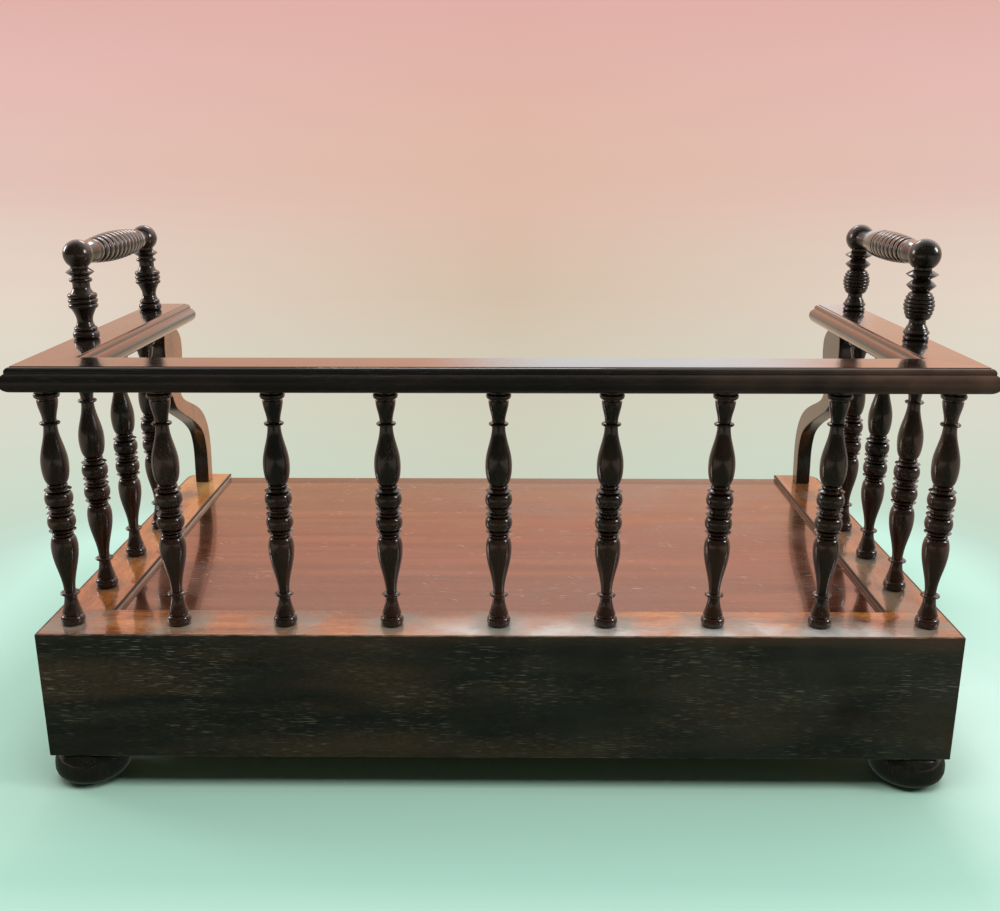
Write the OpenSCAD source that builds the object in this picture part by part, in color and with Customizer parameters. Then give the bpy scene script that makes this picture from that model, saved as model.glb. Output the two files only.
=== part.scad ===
// Book trough: a veneered box with a drawer, a turned gallery round three sides of its platform,
// scroll brackets at the open front and a turned carrying handle over each end.
// The open front with its drawer faces -Y, the long row of balusters stands at +Y, and +Z is up.

/* [Base box] */
// Width of the base over its veneers
base_w = 400; // [360:1:460]
// Depth of the base, front to back
base_d = 236; // [215:1:290]
// Height of the base box above its feet
base_h = 59; // [52:0.5:75]
// Thickness of the carcase boards
wall_t = 11; // [9:0.5:14]
// Thickness of the saw-cut veneer
veneer_t = 1; // [0.6:0.1:1.6]
// Radius of the base's two front corners in plan
corner_r = 8; // [4:0.5:9]
// Thickness of the bottom board and of the rail under the drawer
bottom_t = 7; // [6:0.5:9]
// Depth of the rail under the drawer, front to back
front_rail_d = 28; // [20:1:40]
// Depth of the step in the walls that holds the bottom board
rebate = 6; // [4:0.5:7]
// How far the end boards are let into the back board
corner_lap = 6; // [3:0.5:7]

/* [Platform] */
// Thickness of the sunk platform board
platform_t = 8; // [6:0.5:10]
// Width of the lip along the platform's front edge
lip_d = 12; // [9:0.5:13]
// Width of the raised border slips
border_w = 26; // [24:0.5:32]
// Height of the border slips above the platform
border_t = 2.5; // [1.5:0.1:4]
// How deep the border slips are let into the platform
slip_let = 0.6; // [0.3:0.1:1]
// Slack round the border slips where they meet the platform and each other
slip_gap = 0.1; // [0.05:0.05:0.3]

/* [Feet and screws] */
// Height of the bun feet
foot_h = 16; // [12:0.5:22]
// Widest diameter of a bun foot
foot_dia = 33.2; // [30:0.1:40]
// Height at which the bun feet are widest
foot_wide_h = 6.6; // [5:0.1:9]
// Diameter of the bun feet against the base
foot_top_dia = 24; // [20:0.5:28]
// Diameter of the flat under a bun foot
foot_flat_dia = 17; // [14:0.5:24]
// Distance of a foot's centre from the sides, the back and the front
foot_inset = 13.7; // [12:0.1:24]
// Diameter of the spigot on top of a foot
spigot_dia = 10; // [7:0.5:12]
// Length of the spigot on top of a foot
spigot_len = 6; // [3:0.5:6]
// Head diameter of the bottom screws
screw_head_dia = 6; // [5:0.5:7]
// Shank diameter of the bottom screws
screw_dia = 2.6; // [2:0.2:3]
// Length of the bottom screws
screw_len = 16; // [12:0.5:20]
// Width of a screw's slot
slot_w = 0.7; // [0.5:0.1:1]
// Depth of a screw's slot
slot_d = 0.6; // [0.4:0.1:0.8]

/* [Gallery] */
// Distance of the gallery line from the base's edges
gallery_inset = 12.4; // [11.4:0.2:16]
// Balusters in the back row, corners included
back_count = 9; // [5:1:11]
// Balusters along each side, corner left out
side_count = 3; // [2:1:3]
// Spacing of the side balusters
side_pitch = 41.2; // [30:0.2:44]
// Height of a baluster between platform border and rail
baluster_h = 106.1; // [100:0.1:130]
// Diameter of the dowels on the balusters' ends
dowel_dia = 5; // [4:0.1:5.6]
// Length of the dowels on the balusters' ends
dowel_len = 5; // [3:0.5:6]

/* [Rail] */
// Width of the rail's flat top
rail_flat_w = 19; // [16:0.1:22]
// Height of the rounded fillet between flat top and bullnose
fillet_h = 2.2; // [1.2:0.1:2.5]
// Height of the bullnose edge
nose_h = 8.6; // [6.5:0.1:10]
// How far the bullnose stands out past the flat top
nose_out = 4; // [2.5:0.1:4.5]
// Depth of the crisp drop at the edge of the flat top, above the rounded fillet
quirk = 0.3; // [0.2:0.1:0.6]
// Length of the side rails' flat, from the back of the base
rail_run = 182; // [176:1:195]

/* [Brackets] */
// Thickness of the scroll brackets
bracket_t = 8.3; // [5:0.1:9]
// Distance of a bracket's foot from the front of the base
bracket_foot_in = 9; // [8:0.5:14]
// Depth of a bracket's foot, front to back
bracket_foot_d = 9; // [7:0.5:12]
// Length of the stub tenons on a bracket
bracket_tenon = 3; // [2:0.5:4]

/* [Handles] */
// Distance between the two posts of a handle
post_spacing = 91; // [70:1:100]
// Distance of the nearest post from the back of the base
post_back = 68.5; // [60:0.5:74]
// How far the posts stand outside the gallery line
post_out = 3; // [0:0.5:3]
// Height of the balls' centres above the rail
ball_height = 38.3; // [38:0.1:50]
// Diameter of the balls on the right posts
right_ball_dia = 13.2; // [12:0.1:15]
// Diameter of the balls on the left posts
left_ball_dia = 14.4; // [12:0.1:16]
// Thickest diameter of the grips
grip_dia = 14.2; // [11:0.1:16]
// Diameter of a grip's ends
grip_end_dia = 8.8; // [7:0.1:9]
// Diameter of the dowels on posts and grips
post_dowel_dia = 5; // [4:0.1:5.6]
// Length of the dowels under the posts
post_dowel_len = 5; // [3:0.5:5.5]
// Reeds turned on the right grip
right_reeds = 11; // [5:1:15]
// Reeds turned on the left grip
left_reeds = 8; // [5:1:12]
// Length of the reeded stretch of the right grip
right_reeded_len = 56; // [40:1:66]
// Length of the reeded stretch of the left grip
left_reeded_len = 40; // [30:1:54]
// Depth of the right grip's reeds
right_reed_depth = 1; // [0.6:0.1:1.3]
// Depth of the left grip's reeds
left_reed_depth = 0.6; // [0.5:0.1:1.1]

/* [Drawer] */
// Gap at each side of the drawer
drawer_side_gap = 0.6; // [0.3:0.1:1]
// Running clearance under the drawer's sides
drawer_lift = 0.3; // [0.2:0.1:0.6]
// Gap above the drawer front
drawer_top_gap = 0.8; // [0.4:0.1:1.5]
// Thickness of the drawer front without its veneer
drawer_front_t = 11; // [9:0.5:14]
// Thickness of the drawer's sides and back
drawer_side_t = 7; // [5:0.5:9]
// How much lower the drawer's sides and back are than its front
drawer_side_drop = 2; // [1:0.5:6]
// Thickness of the drawer's bottom
drawer_bottom_t = 4; // [3:0.5:6]
// Height of the drawer's bottom above the lower edge of its sides
drawer_bottom_up = 4; // [3.5:0.5:8]
// Depth of the grooves that hold the drawer's bottom
groove_d = 3; // [2:0.5:4]
// Free space behind the closed drawer
drawer_back_gap = 3; // [2:0.5:12]
// How far the front dovetails reach into the drawer front
dovetail_lap = 7.5; // [5:0.5:8.5]
// Height of a dovetail at its wide end
dovetail_h = 9; // [6:0.5:10]
// How much narrower a dovetail is at its root, on each edge
dovetail_flare = 1.2; // [0.6:0.1:1.6]
// Height of the drawer stops
stop_h = 2.8; // [2:0.1:3]
// Length of a drawer stop along the front
stop_w = 40; // [20:1:60]
// Depth of a drawer stop, front to back
stop_d = 9; // [6:0.5:14]
// Distance between the two knobs
knob_spacing = 212; // [120:1:280]
// Diameter of a drawer knob
knob_dia = 20; // [16:0.5:24]
// How far a drawer knob stands out
knob_out = 16; // [12:0.5:22]
// Diameter of a knob's dowel
knob_dowel_dia = 8; // [5:0.5:10]

/* [Fits] */
// Radial slack of a glued dowel in its hole
dowel_slack = 0.06; // [0.02:0.01:0.15]
// Space left at the end of a blind hole
blind_space = 0.4; // [0.2:0.1:0.8]
// Slack round a dovetail, tenon or panel in its groove
joint_slack = 0.08; // [0.04:0.02:0.2]

/* [Hidden] */
$fn = 64;
cut = 1;
bead_steps = 6;
ball_steps = 12;
curve_steps = 7;
bracket_steps = 4;
corner_steps = 8;
same_point = 0.001;
disc_edge = 0.16;

// Heights of the layers, from the floor up
box_bottom = foot_h;
base_top = foot_h + base_h;
platform_top = base_top - border_t;
platform_bottom = platform_top - platform_t;
slip_bottom = platform_top - slip_let;
floor_top = box_bottom + bottom_t;
rail_bottom = base_top + baluster_h;
rail_t = nose_h + fillet_h;
rail_top = rail_bottom + rail_t;

// Places across and along the base; the origin lies under the middle of the whole object
half_w = base_w/2;
inner_half = half_w - veneer_t;
bay_half = inner_half - wall_t;
rebate_half = bay_half + rebate;
gallery_x = half_w - gallery_inset;
rail_half = rail_flat_w/2 + nose_out;
back_overhang = max(0, rail_half - gallery_inset, foot_dia/2 - foot_inset);
front_y = -base_d/2 + (knob_out - back_overhang)/2;
back_y = front_y + base_d;
gallery_y = back_y - gallery_inset;
back_pitch = 2*gallery_x/(back_count - 1);
rail_front = back_y - rail_run;
bay_back = back_y - veneer_t - wall_t;
end_board_back = bay_back + corner_lap;
bottom_back = bay_back + rebate;
platform_front = front_y + lip_d;
dowel_r = dowel_dia/2;
post_dowel_r = post_dowel_dia/2;

// Baluster centres: the back row from left to right, then the two sides from back to front
back_row = [for (i = [0:back_count - 1]) [-gallery_x + i*back_pitch, gallery_y]];
left_row = [for (i = [1:side_count]) [-gallery_x, gallery_y - i*side_pitch]];
right_row = [for (i = [1:side_count]) [gallery_x, gallery_y - i*side_pitch]];
balusters = concat(back_row, left_row, right_row);

// Feet, posts, knobs and screws
foot_x = half_w - foot_inset;
foot_front_y = front_y + foot_inset;
foot_back_y = back_y - foot_inset;
post_x = gallery_x + post_out;
post_back_y = back_y - post_back;
post_front_y = post_back_y - post_spacing;
handle_z = rail_top + ball_height;
screw_x = bay_half + rebate/2;
screw_back_y = bay_back + rebate/2;
screw_run = base_d - 2*foot_inset - 2*foot_dia;
screw_spots = concat(
    [for (s = [-1, 1], t = [-0.5:0.5:0.5]) [s*screw_x, (foot_front_y + foot_back_y)/2 + t*screw_run]],
    [for (t = [-0.5:0.5:0.5]) [t*(2*foot_x - 2*foot_dia), screw_back_y]]
);

// Drawer
drawer_half = bay_half - drawer_side_gap;
drawer_z = floor_top + drawer_lift;
drawer_front_top = platform_bottom - drawer_top_gap;
drawer_side_top = drawer_front_top - drawer_side_drop;
drawer_front_back = front_y + veneer_t + drawer_front_t;
drawer_end = bay_back - drawer_back_gap;
drawer_back_y = drawer_end - drawer_side_t;
panel_z = drawer_z + drawer_bottom_up;
panel_top = panel_z + drawer_bottom_t;
side_inner = drawer_half - drawer_side_t;
knob_z = (drawer_z + drawer_front_top)/2;
stop_x = knob_spacing/2;
tail_low = panel_top + (drawer_side_top - panel_top)/4;
tail_high = panel_top + 3*(drawer_side_top - panel_top)/4;

// Turned work is a list of steps, from the bottom up: [kind, height, radius at the start, radius at the end].
// bead: round moulding that swells from the first radius to the second and back
// cup: the lower half of a round moulding; dome: the upper half
// ball: round top, from its angle at the stem to its pole
// disc: sharp-edged moulding, also from the first radius to the second and back
// ease: S-shaped passage; flare: hollow passage that turns outwards at its end; bell: the same, upside down
// line: straight passage
function step_points(s, z) =
    s[0] == "bead" ? [for (i = [0:bead_steps]) let (a = 180*i/bead_steps)
        [s[2] + (s[3] - s[2])*sin(a), z + s[1]*(1 - cos(a))/2]] :
    s[0] == "cup" ? [for (i = [0:curve_steps]) let (a = 90*i/curve_steps)
        [s[2] + (s[3] - s[2])*sin(a), z + s[1]*(1 - cos(a))]] :
    s[0] == "dome" ? [for (i = [0:curve_steps]) let (a = 90*i/curve_steps)
        [s[2] + (s[3] - s[2])*(1 - cos(a)), z + s[1]*sin(a)]] :
    s[0] == "ball" ? [for (i = [0:ball_steps - 1]) let (a = s[2] + (180 - s[2])*i/ball_steps)
        [s[3]*sin(a), z + s[3]*(cos(s[2]) - cos(a))]] :
    s[0] == "disc" ? [[s[2], z], [s[3], z + s[1]*(1 - disc_edge)/2],
        [s[3], z + s[1]*(1 + disc_edge)/2], [s[2], z + s[1]]] :
    s[0] == "ease" ? [for (i = [0:curve_steps]) let (t = i/curve_steps)
        [s[2] + (s[3] - s[2])*(1 - cos(180*t))/2, z + s[1]*t]] :
    s[0] == "flare" ? [for (i = [0:curve_steps]) let (t = i/curve_steps)
        [s[2] + (s[3] - s[2])*(1 - cos(90*t)), z + s[1]*t]] :
    s[0] == "bell" ? [for (i = [0:curve_steps]) let (t = i/curve_steps)
        [s[2] + (s[3] - s[2])*sin(90*t), z + s[1]*t]] :
    [[s[2], z], [s[3], z + s[1]]];

function height_of(steps, n) = n == 0 ? 0 : steps[n - 1][1] + height_of(steps, n - 1);

function outline(steps) =
    [for (n = [0:len(steps) - 1]) each step_points(steps[n], height_of(steps, n))];

function turning(steps) = let (points = outline(steps))
    [for (i = [0:len(points) - 1]) if (i == 0 || norm(points[i] - points[i - 1]) > same_point) points[i]];

// Steps of a baluster between its two dowels; the upper vase takes up what the other steps leave
baluster_foot = [
    ["bead", 4.4, 3.9, 5.2],
    ["line", 1.0, 3.7, 3.7],
    ["bell", 8.2, 4.3, 2.6],
    ["bead", 1.6, 2.6, 4.1],
    ["ease", 20.6, 2.4, 5.6],
    ["dome", 5.2, 5.6, 4.1]
];
baluster_middle = [
    ["bead", 1.6, 3.4, 4.4],
    ["disc", 2.0, 3.7, 5.65],
    ["bead", 5.9, 4.4, 5.85],
    ["disc", 1.9, 4.2, 5.65],
    ["line", 0.8, 4.0, 4.0],
    ["disc", 1.9, 4.2, 5.65],
    ["bead", 5.9, 4.4, 5.85],
    ["disc", 2.0, 3.7, 5.65],
    ["bead", 1.6, 3.3, 4.2]
];
baluster_head = [
    ["bead", 1.6, 2.8, 4.2],
    ["ease", 9.2, 2.8, 4.3],
    ["line", 0.8, 3.5, 3.5],
    ["bead", 2.6, 4.3, 5.3],
    ["line", 1.7, 4.5, 4.5]
];
vase_swell = 8.6;
vase_r = 5.7;
upper_vase = baluster_h - vase_swell - height_of(baluster_foot, len(baluster_foot))
    - height_of(baluster_middle, len(baluster_middle)) - height_of(baluster_head, len(baluster_head));
baluster_steps = concat(
    [["line", dowel_len, dowel_r, dowel_r]],
    baluster_foot,
    baluster_middle,
    [["cup", vase_swell, 3.4, vase_r], ["ease", upper_vase, vase_r, 2.8]],
    baluster_head,
    [["line", dowel_len, dowel_r, dowel_r]]
);

// Posts of the right handle: a vase under three rings, a hollow neck and a collar
right_stem = [
    ["bead", 3.6, 4.8, 5.9],
    ["bead", 2.0, 4.2, 5.2],
    ["ease", 2.5, 4.2, 3.5],
    ["flare", 5.9, 3.5, 5.5],
    ["bead", 2.3, 5.5, 6.45],
    ["bead", 2.3, 5.5, 6.5],
    ["bead", 2.3, 5.5, 6.5],
    ["bell", 3.0, 5.2, 3.8],
    ["line", 1.9, 3.8, 3.8],
    ["bead", 2.0, 3.8, 5.05],
    ["line", 0.8, 3.8, 3.8],
    ["disc", 3.6, 3.8, 6.2]
];
// Posts of the left handle: a grooved barrel under two sharp discs
left_stem = [
    ["bead", 2.0, 4.9, 5.7],
    ["disc", 2.8, 4.9, 5.9],
    ["ease", 3.0, 4.9, 3.7],
    ["line", 1.4, 3.7, 3.7],
    ["cup", 2.4, 3.7, 5.7],
    ["bead", 1.7, 5.7, 6.2],
    ["bead", 1.7, 6.1, 6.65],
    ["bead", 1.7, 6.3, 6.85],
    ["bead", 1.7, 6.1, 6.6],
    ["bead", 1.7, 5.6, 6.1],
    ["dome", 1.9, 5.4, 3.5],
    ["disc", 5.6, 3.5, 6.5],
    ["disc", 4.2, 3.7, 7.1]
];
// Angle, from a ball's lowest point, at which it leaves its stem
ball_root = 40;
ball_neck_r = 3.9;

function post_steps(stem, ball_r) = concat(
    [["line", post_dowel_len, post_dowel_r, post_dowel_r]],
    stem,
    [["line", ball_height - height_of(stem, len(stem)) - ball_r*cos(ball_root), ball_neck_r, ball_neck_r]],
    [["ball", ball_r*(1 + cos(ball_root)), ball_root, ball_r]]
);

// Handle grips: dowel, plain end, reeds that follow a barrel shape, plain end, dowel
ball_land_r = grip_end_dia/2 + dowel_slack;
grip_dowel_len = 3.6;
barrel_fullness = 0.8;
function land(ball_r) = sqrt(ball_r*ball_r - ball_land_r*ball_land_r);
function barrel(t) = grip_end_dia/2 + (grip_dia - grip_end_dia)/2*pow(sin(180*t), barrel_fullness);
function reeds(count, length, reed_depth, share) = [for (i = [0:count - 1])
    let (r = barrel(0.5 + ((i + 0.5)/count - 0.5)*share)) ["bead", length/count, r - reed_depth, r]];

function grip_steps(count, reeded, reed_depth, clear) = let (
        plain = (clear - reeded)/2,
        share = reeded/clear,
        edge_r = barrel(0.5 - share/2)
    ) concat(
        [["line", grip_dowel_len, post_dowel_r, post_dowel_r]],
        [["ease", plain, grip_end_dia/2, edge_r]],
        reeds(count, reeded, reed_depth, share),
        [["ease", plain, edge_r, grip_end_dia/2]],
        [["line", grip_dowel_len, post_dowel_r, post_dowel_r]]
    );

// Bun foot and drawer knob
foot_steps = [
    ["cup", foot_wide_h, foot_flat_dia/2, foot_dia/2],
    ["dome", foot_h - foot_wide_h, foot_dia/2, foot_top_dia/2],
    ["line", spigot_len, spigot_dia/2, spigot_dia/2]
];
knob_shoulder = 1;
knob_neck_r = knob_dowel_dia/2 + knob_shoulder;
knob_dowel_len = veneer_t + drawer_front_t - blind_space;
knob_collar_h = 2.2;
knob_collar_out = 1.6;
knob_rim_h = 3.4;
knob_rim_r = 0.8*knob_dia/2;
knob_crown_h = 4.6;
knob_tip_r = 0.5;
knob_steps = [
    ["line", knob_dowel_len, knob_dowel_dia/2, knob_dowel_dia/2],
    ["bead", knob_collar_h, knob_neck_r, knob_neck_r + knob_collar_out],
    ["ease", knob_out - knob_collar_h - knob_rim_h - knob_crown_h, knob_neck_r, knob_rim_r],
    ["bead", knob_rim_h, knob_rim_r, knob_dia/2],
    ["bell", knob_crown_h, knob_rim_r, knob_tip_r]
];

// Smooth curve through a list of points
function curve_point(a, b, c, d, t) =
    0.5*(2*b + (c - a)*t + (2*a - 5*b + 4*c - d)*t*t + (3*b - a - 3*c + d)*t*t*t);
function smooth(points, steps) = let (last = len(points) - 1) concat(
    [for (i = [0:last - 1], k = [0:steps - 1])
        curve_point(points[max(i - 1, 0)], points[i], points[i + 1], points[min(i + 2, last)], k/steps)],
    [points[last]]
);

// Outline of a bracket in the YZ plane: the arm's points are placed from its foot, the blade's from the rail,
// both as shares of the balusters' height
bracket_foot_front = front_y + bracket_foot_in;
bracket_foot_back = bracket_foot_front + bracket_foot_d;
function arm(y, z) = [bracket_foot_front + y*baluster_h, base_top + z*baluster_h];
function arm_back(y, z) = [bracket_foot_back + y*baluster_h, base_top + z*baluster_h];
function blade(y, z) = [rail_front + y*baluster_h, rail_bottom - z*baluster_h];
bracket_front_edge = [
    arm(0, 0),
    arm(-0.008, 0.094),
    arm(-0.014, 0.188),
    arm(-0.005, 0.273),
    arm(0.024, 0.349),
    arm(0.077, 0.415),
    arm(0.157, 0.471),
    arm(0.262, 0.518),
    blade(-0.041, 0.434),
    blade(0.017, 0.400),
    blade(0.045, 0.350),
    blade(0.021, 0.272),
    blade(-0.026, 0.200),
    blade(-0.039, 0.134),
    blade(-0.022, 0.068),
    blade(0.064, 0)
];
bracket_back_edge = [
    blade(0.229, 0),
    blade(0.247, 0.080),
    blade(0.247, 0.160),
    blade(0.233, 0.246),
    blade(0.210, 0.321),
    blade(0.177, 0.378),
    blade(0.130, 0.438),
    arm_back(0.374, 0.509),
    arm_back(0.255, 0.452),
    arm_back(0.146, 0.396),
    arm_back(0.052, 0.330),
    arm_back(0.010, 0.264),
    arm_back(-0.007, 0.188),
    arm_back(-0.004, 0.094),
    arm_back(0, 0)
];
bracket_outline = concat(smooth(bracket_front_edge, bracket_steps), smooth(bracket_back_edge, bracket_steps));
foot_tenon = [bracket_foot_front + bracket_foot_d/6, bracket_foot_back - bracket_foot_d/6];
blade_tenon = [blade(0.11, 0)[0], blade(0.18, 0)[0]];

// Finishes
rosewood = "#2b1610";
turned_rosewood = "#24120d";
mahogany = "#7a3a22";
border_wood = "#8a4a26";
carcase_wood = "#9a6b43";
drawer_wood = "#a9794a";
screw_steel = "#8d8a84";

// A box from its lowest to its highest corner
module block(low, high) {
    translate(low) cube(high - low);
}

module left_of(side) {
    mirror([side == "left" ? 1 : 0, 0, 0]) children();
}

module turned(steps) {
    rotate_extrude() polygon(concat([[0, 0]], turning(steps), [[0, height_of(steps, len(steps))]]));
}

// Plan of an end of the base: a strip along its outer edge whose front outer corner is rounded
function corner_arc(outer_x, front, r) = [for (i = [0:corner_steps]) let (a = 90*i/corner_steps)
    [outer_x - r + r*sin(a), front + r - r*cos(a)]];

module end_plan(outer_x, width, front, back, r) {
    polygon(concat([[outer_x - width, front]], corner_arc(outer_x, front, r),
        [[outer_x, back], [outer_x - width, back]]));
}

// Plan of a layer that lies inside the end veneers and comes flush with the front between them
module flush_plan(inner_x, back) {
    translate([inner_x, front_y]) square([bay_half - inner_x, back - front_y]);
    end_plan(inner_half, inner_half - inner_x, front_y + veneer_t, back, corner_r - veneer_t);
}

module layer(z0, z1) {
    translate([0, 0, z0]) linear_extrude(z1 - z0) children();
}

module baluster_holes(z, depth) {
    for (p = balusters) translate([p[0], p[1], z]) cylinder(r = dowel_r + dowel_slack, h = depth);
}

module screw_shape(slack) {
    translate([0, 0, -cut]) cylinder(r = screw_dia/2 + slack, h = screw_len + cut + slack);
    cylinder(r1 = screw_head_dia/2 + slack, r2 = screw_dia/2 + slack, h = (screw_head_dia - screw_dia)/2);
}

module screw_holes() {
    for (p = screw_spots) translate([p[0], p[1], box_bottom]) screw_shape(dowel_slack);
}

module foot_holes() {
    for (x = [-foot_x, foot_x], y = [foot_front_y, foot_back_y])
        translate([x, y, box_bottom - cut])
            cylinder(r = spigot_dia/2 + dowel_slack, h = spigot_len + blind_space + cut);
}

module back_board() {
    color(carcase_wood) difference() {
        block([-inner_half, bay_back, box_bottom], [inner_half, back_y - veneer_t, platform_bottom]);
        for (s = [-1, 1]) translate([s*(bay_half + inner_half)/2, bay_back, box_bottom + base_h/2])
            cube([wall_t, 2*corner_lap, base_h + cut], center = true);
        block([-rebate_half, bay_back - cut, box_bottom - cut], [rebate_half, bottom_back, floor_top]);
        screw_holes();
    }
}

module end_board(side) {
    color(carcase_wood) difference() {
        left_of(side) layer(box_bottom, platform_bottom)
            end_plan(inner_half, wall_t, front_y + veneer_t, end_board_back, corner_r - veneer_t);
        left_of(side) block([bay_half - cut, front_y, box_bottom - cut], [rebate_half, back_y, floor_top]);
        screw_holes();
    }
}

module bottom_board() {
    color(carcase_wood) difference() {
        block([-rebate_half, front_y + front_rail_d, box_bottom], [rebate_half, bottom_back, floor_top]);
        screw_holes();
        foot_holes();
    }
}

module front_rail() {
    color(rosewood) difference() {
        union() {
            block([-bay_half, front_y, box_bottom], [bay_half, front_y + front_rail_d, floor_top]);
            block([-rebate_half, front_y + veneer_t, box_bottom],
                [rebate_half, front_y + front_rail_d, floor_top]);
        }
        foot_holes();
        screw_holes();
    }
}

module drawer_stops() {
    color(drawer_wood) for (s = [-1, 1])
        translate([s*stop_x - stop_w/2, drawer_front_back + joint_slack, floor_top])
            cube([stop_w, stop_d, stop_h]);
}

module bottom_screws() {
    color(screw_steel) for (p = screw_spots) translate([p[0], p[1], box_bottom]) difference() {
        union() {
            cylinder(r = screw_dia/2, h = screw_len);
            cylinder(r1 = screw_head_dia/2, r2 = screw_dia/2, h = (screw_head_dia - screw_dia)/2);
        }
        translate([-screw_head_dia, -slot_w/2, -cut]) cube([2*screw_head_dia, slot_w, cut + slot_d]);
    }
}

// Shallow step in the platform and its lip, in which the border slips lie
module slip_steps() {
    edge = half_w - border_w - slip_gap;
    for (x = [-half_w, edge])
        block([x, front_y - cut, slip_bottom], [x + border_w + slip_gap, back_y, platform_top + cut]);
    block([-half_w, back_y - border_w - slip_gap, slip_bottom], [half_w, back_y, platform_top + cut]);
}

module platform() {
    color(mahogany) difference() {
        block([-inner_half, platform_front, platform_bottom], [inner_half, back_y - veneer_t, platform_top]);
        slip_steps();
        baluster_holes(base_top - dowel_len - blind_space, dowel_len);
        bracket_sockets();
    }
}

module front_lip() {
    color(mahogany) difference() {
        layer(platform_bottom, platform_top) {
            flush_plan(-cut, platform_front);
            mirror([1, 0]) flush_plan(-cut, platform_front);
        }
        slip_steps();
        bracket_sockets();
    }
}

module border_back() {
    color(border_wood) difference() {
        block([-inner_half, back_y - border_w, slip_bottom], [inner_half, back_y - veneer_t, base_top]);
        baluster_holes(slip_bottom - cut, slip_let + border_t + 2*cut);
    }
}

module border_side(side) {
    color(border_wood) difference() {
        left_of(side) layer(slip_bottom, base_top)
            flush_plan(half_w - border_w, back_y - border_w - slip_gap);
        baluster_holes(slip_bottom - cut, slip_let + border_t + 2*cut);
        bracket_sockets();
    }
}

module back_veneer() {
    color(rosewood)
        block([-half_w, back_y - veneer_t, box_bottom], [half_w, back_y, base_top]);
}

// The end veneer follows the end board round its front corner
module end_veneer(side) {
    outer = corner_arc(half_w, front_y, corner_r);
    inner = corner_arc(inner_half, front_y + veneer_t, corner_r - veneer_t);
    color(rosewood) left_of(side) layer(box_bottom, base_top) polygon(concat(
        [[bay_half, front_y]], outer,
        [[half_w, back_y - veneer_t], [inner_half, back_y - veneer_t]],
        [for (i = [corner_steps:-1:0]) inner[i]], [[bay_half, front_y + veneer_t]]));
}

module foot(x, y) {
    color(turned_rosewood) translate([x, y, 0]) turned(foot_steps);
}

module baluster(p) {
    color(turned_rosewood) translate([p[0], p[1], base_top - dowel_len]) turned(baluster_steps);
}

// Cross-section of the gallery rail, its underside on the X axis
module rail_section(flat_w) {
    nose_r = nose_h/2;
    centre = flat_w/2 + nose_out - nose_r;
    translate([-centre, 0]) square([2*centre, nose_h]);
    translate([-flat_w/2, 0]) square([flat_w, rail_t]);
    for (s = [-1, 1]) {
        translate([s*centre, nose_r]) circle(nose_r);
        translate([s*flat_w/2, nose_h]) circle(fillet_h - quirk);
    }
}

module rail_holes() {
    baluster_holes(rail_bottom - cut, dowel_len + blind_space + cut);
    for (x = [-post_x, post_x], y = [post_back_y, post_front_y])
        translate([x, y, rail_top - post_dowel_len - blind_space])
            cylinder(r = post_dowel_r + dowel_slack, h = post_dowel_len + blind_space + cut);
    bracket_sockets();
}

module rail_back() {
    reach = rail_half + cut;
    color(rosewood) difference() {
        intersection() {
            translate([-gallery_x - reach, gallery_y, rail_bottom]) rotate([90, 0, 90])
                linear_extrude(2*(gallery_x + reach)) rail_section(rail_flat_w);
            layer(rail_bottom - cut, rail_top + cut) polygon([
                [-gallery_x - reach, gallery_y + reach], [gallery_x + reach, gallery_y + reach],
                [gallery_x - reach, gallery_y - reach], [-gallery_x + reach, gallery_y - reach]]);
        }
        rail_holes();
    }
}

module rail_side(side) {
    reach = rail_half + cut;
    back = gallery_y + rail_half;
    front = rail_front - nose_out;
    run = 2*(gallery_y + reach - rail_front);
    color(rosewood) difference() {
        left_of(side) intersection() {
            translate([gallery_x, back, rail_bottom]) rotate([90, 0, 0])
                linear_extrude(back - front) rail_section(rail_flat_w);
            layer(rail_bottom - cut, rail_top + cut) polygon([
                [gallery_x + reach, gallery_y + reach], [gallery_x - reach, gallery_y - reach],
                [gallery_x - reach, front - cut], [gallery_x + reach, front - cut]]);
            translate([gallery_x - reach, rail_front + run/2, rail_bottom]) rotate([90, 0, 90])
                linear_extrude(2*reach) rail_section(run);
        }
        rail_holes();
    }
}

module bracket_plate(width, outline) {
    translate([-width/2, 0, 0]) rotate([90, 0, 90]) linear_extrude(width) polygon(outline);
}

module bracket_tenons(slack) {
    for (x = [-gallery_x, gallery_x]) {
        block([x - bracket_t/4 - slack, foot_tenon[0] - slack, base_top - bracket_tenon - slack],
            [x + bracket_t/4 + slack, foot_tenon[1] + slack, base_top + cut]);
        block([x - bracket_t/4 - slack, blade_tenon[0] - slack, rail_bottom - cut],
            [x + bracket_t/4 + slack, blade_tenon[1] + slack, rail_bottom + bracket_tenon + slack]);
    }
}

module bracket_sockets() {
    bracket_tenons(joint_slack);
}

module bracket(side) {
    s = side == "left" ? -1 : 1;
    color(turned_rosewood) {
        translate([s*gallery_x, 0, 0]) bracket_plate(bracket_t, bracket_outline);
        intersection() {
            bracket_tenons(0);
            translate([s*gallery_x, 0, 0]) cube([2*bracket_t, 2*base_d, 4*rail_top], center = true);
        }
    }
}

// A post stands at y with its ball's flat and hole turned towards the other post
module post(x, y, toward, stem, ball_dia) {
    ball_r = ball_dia/2;
    color(turned_rosewood) difference() {
        translate([x, y, rail_top - post_dowel_len]) turned(post_steps(stem, ball_r));
        translate([x, y, handle_z]) rotate([-90*toward, 0, 0]) {
            translate([0, 0, land(ball_r) - grip_dowel_len - blind_space])
                cylinder(r = post_dowel_r + dowel_slack, h = ball_r);
            translate([0, 0, land(ball_r)]) cylinder(r = ball_dia, h = ball_r);
        }
    }
}

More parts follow.
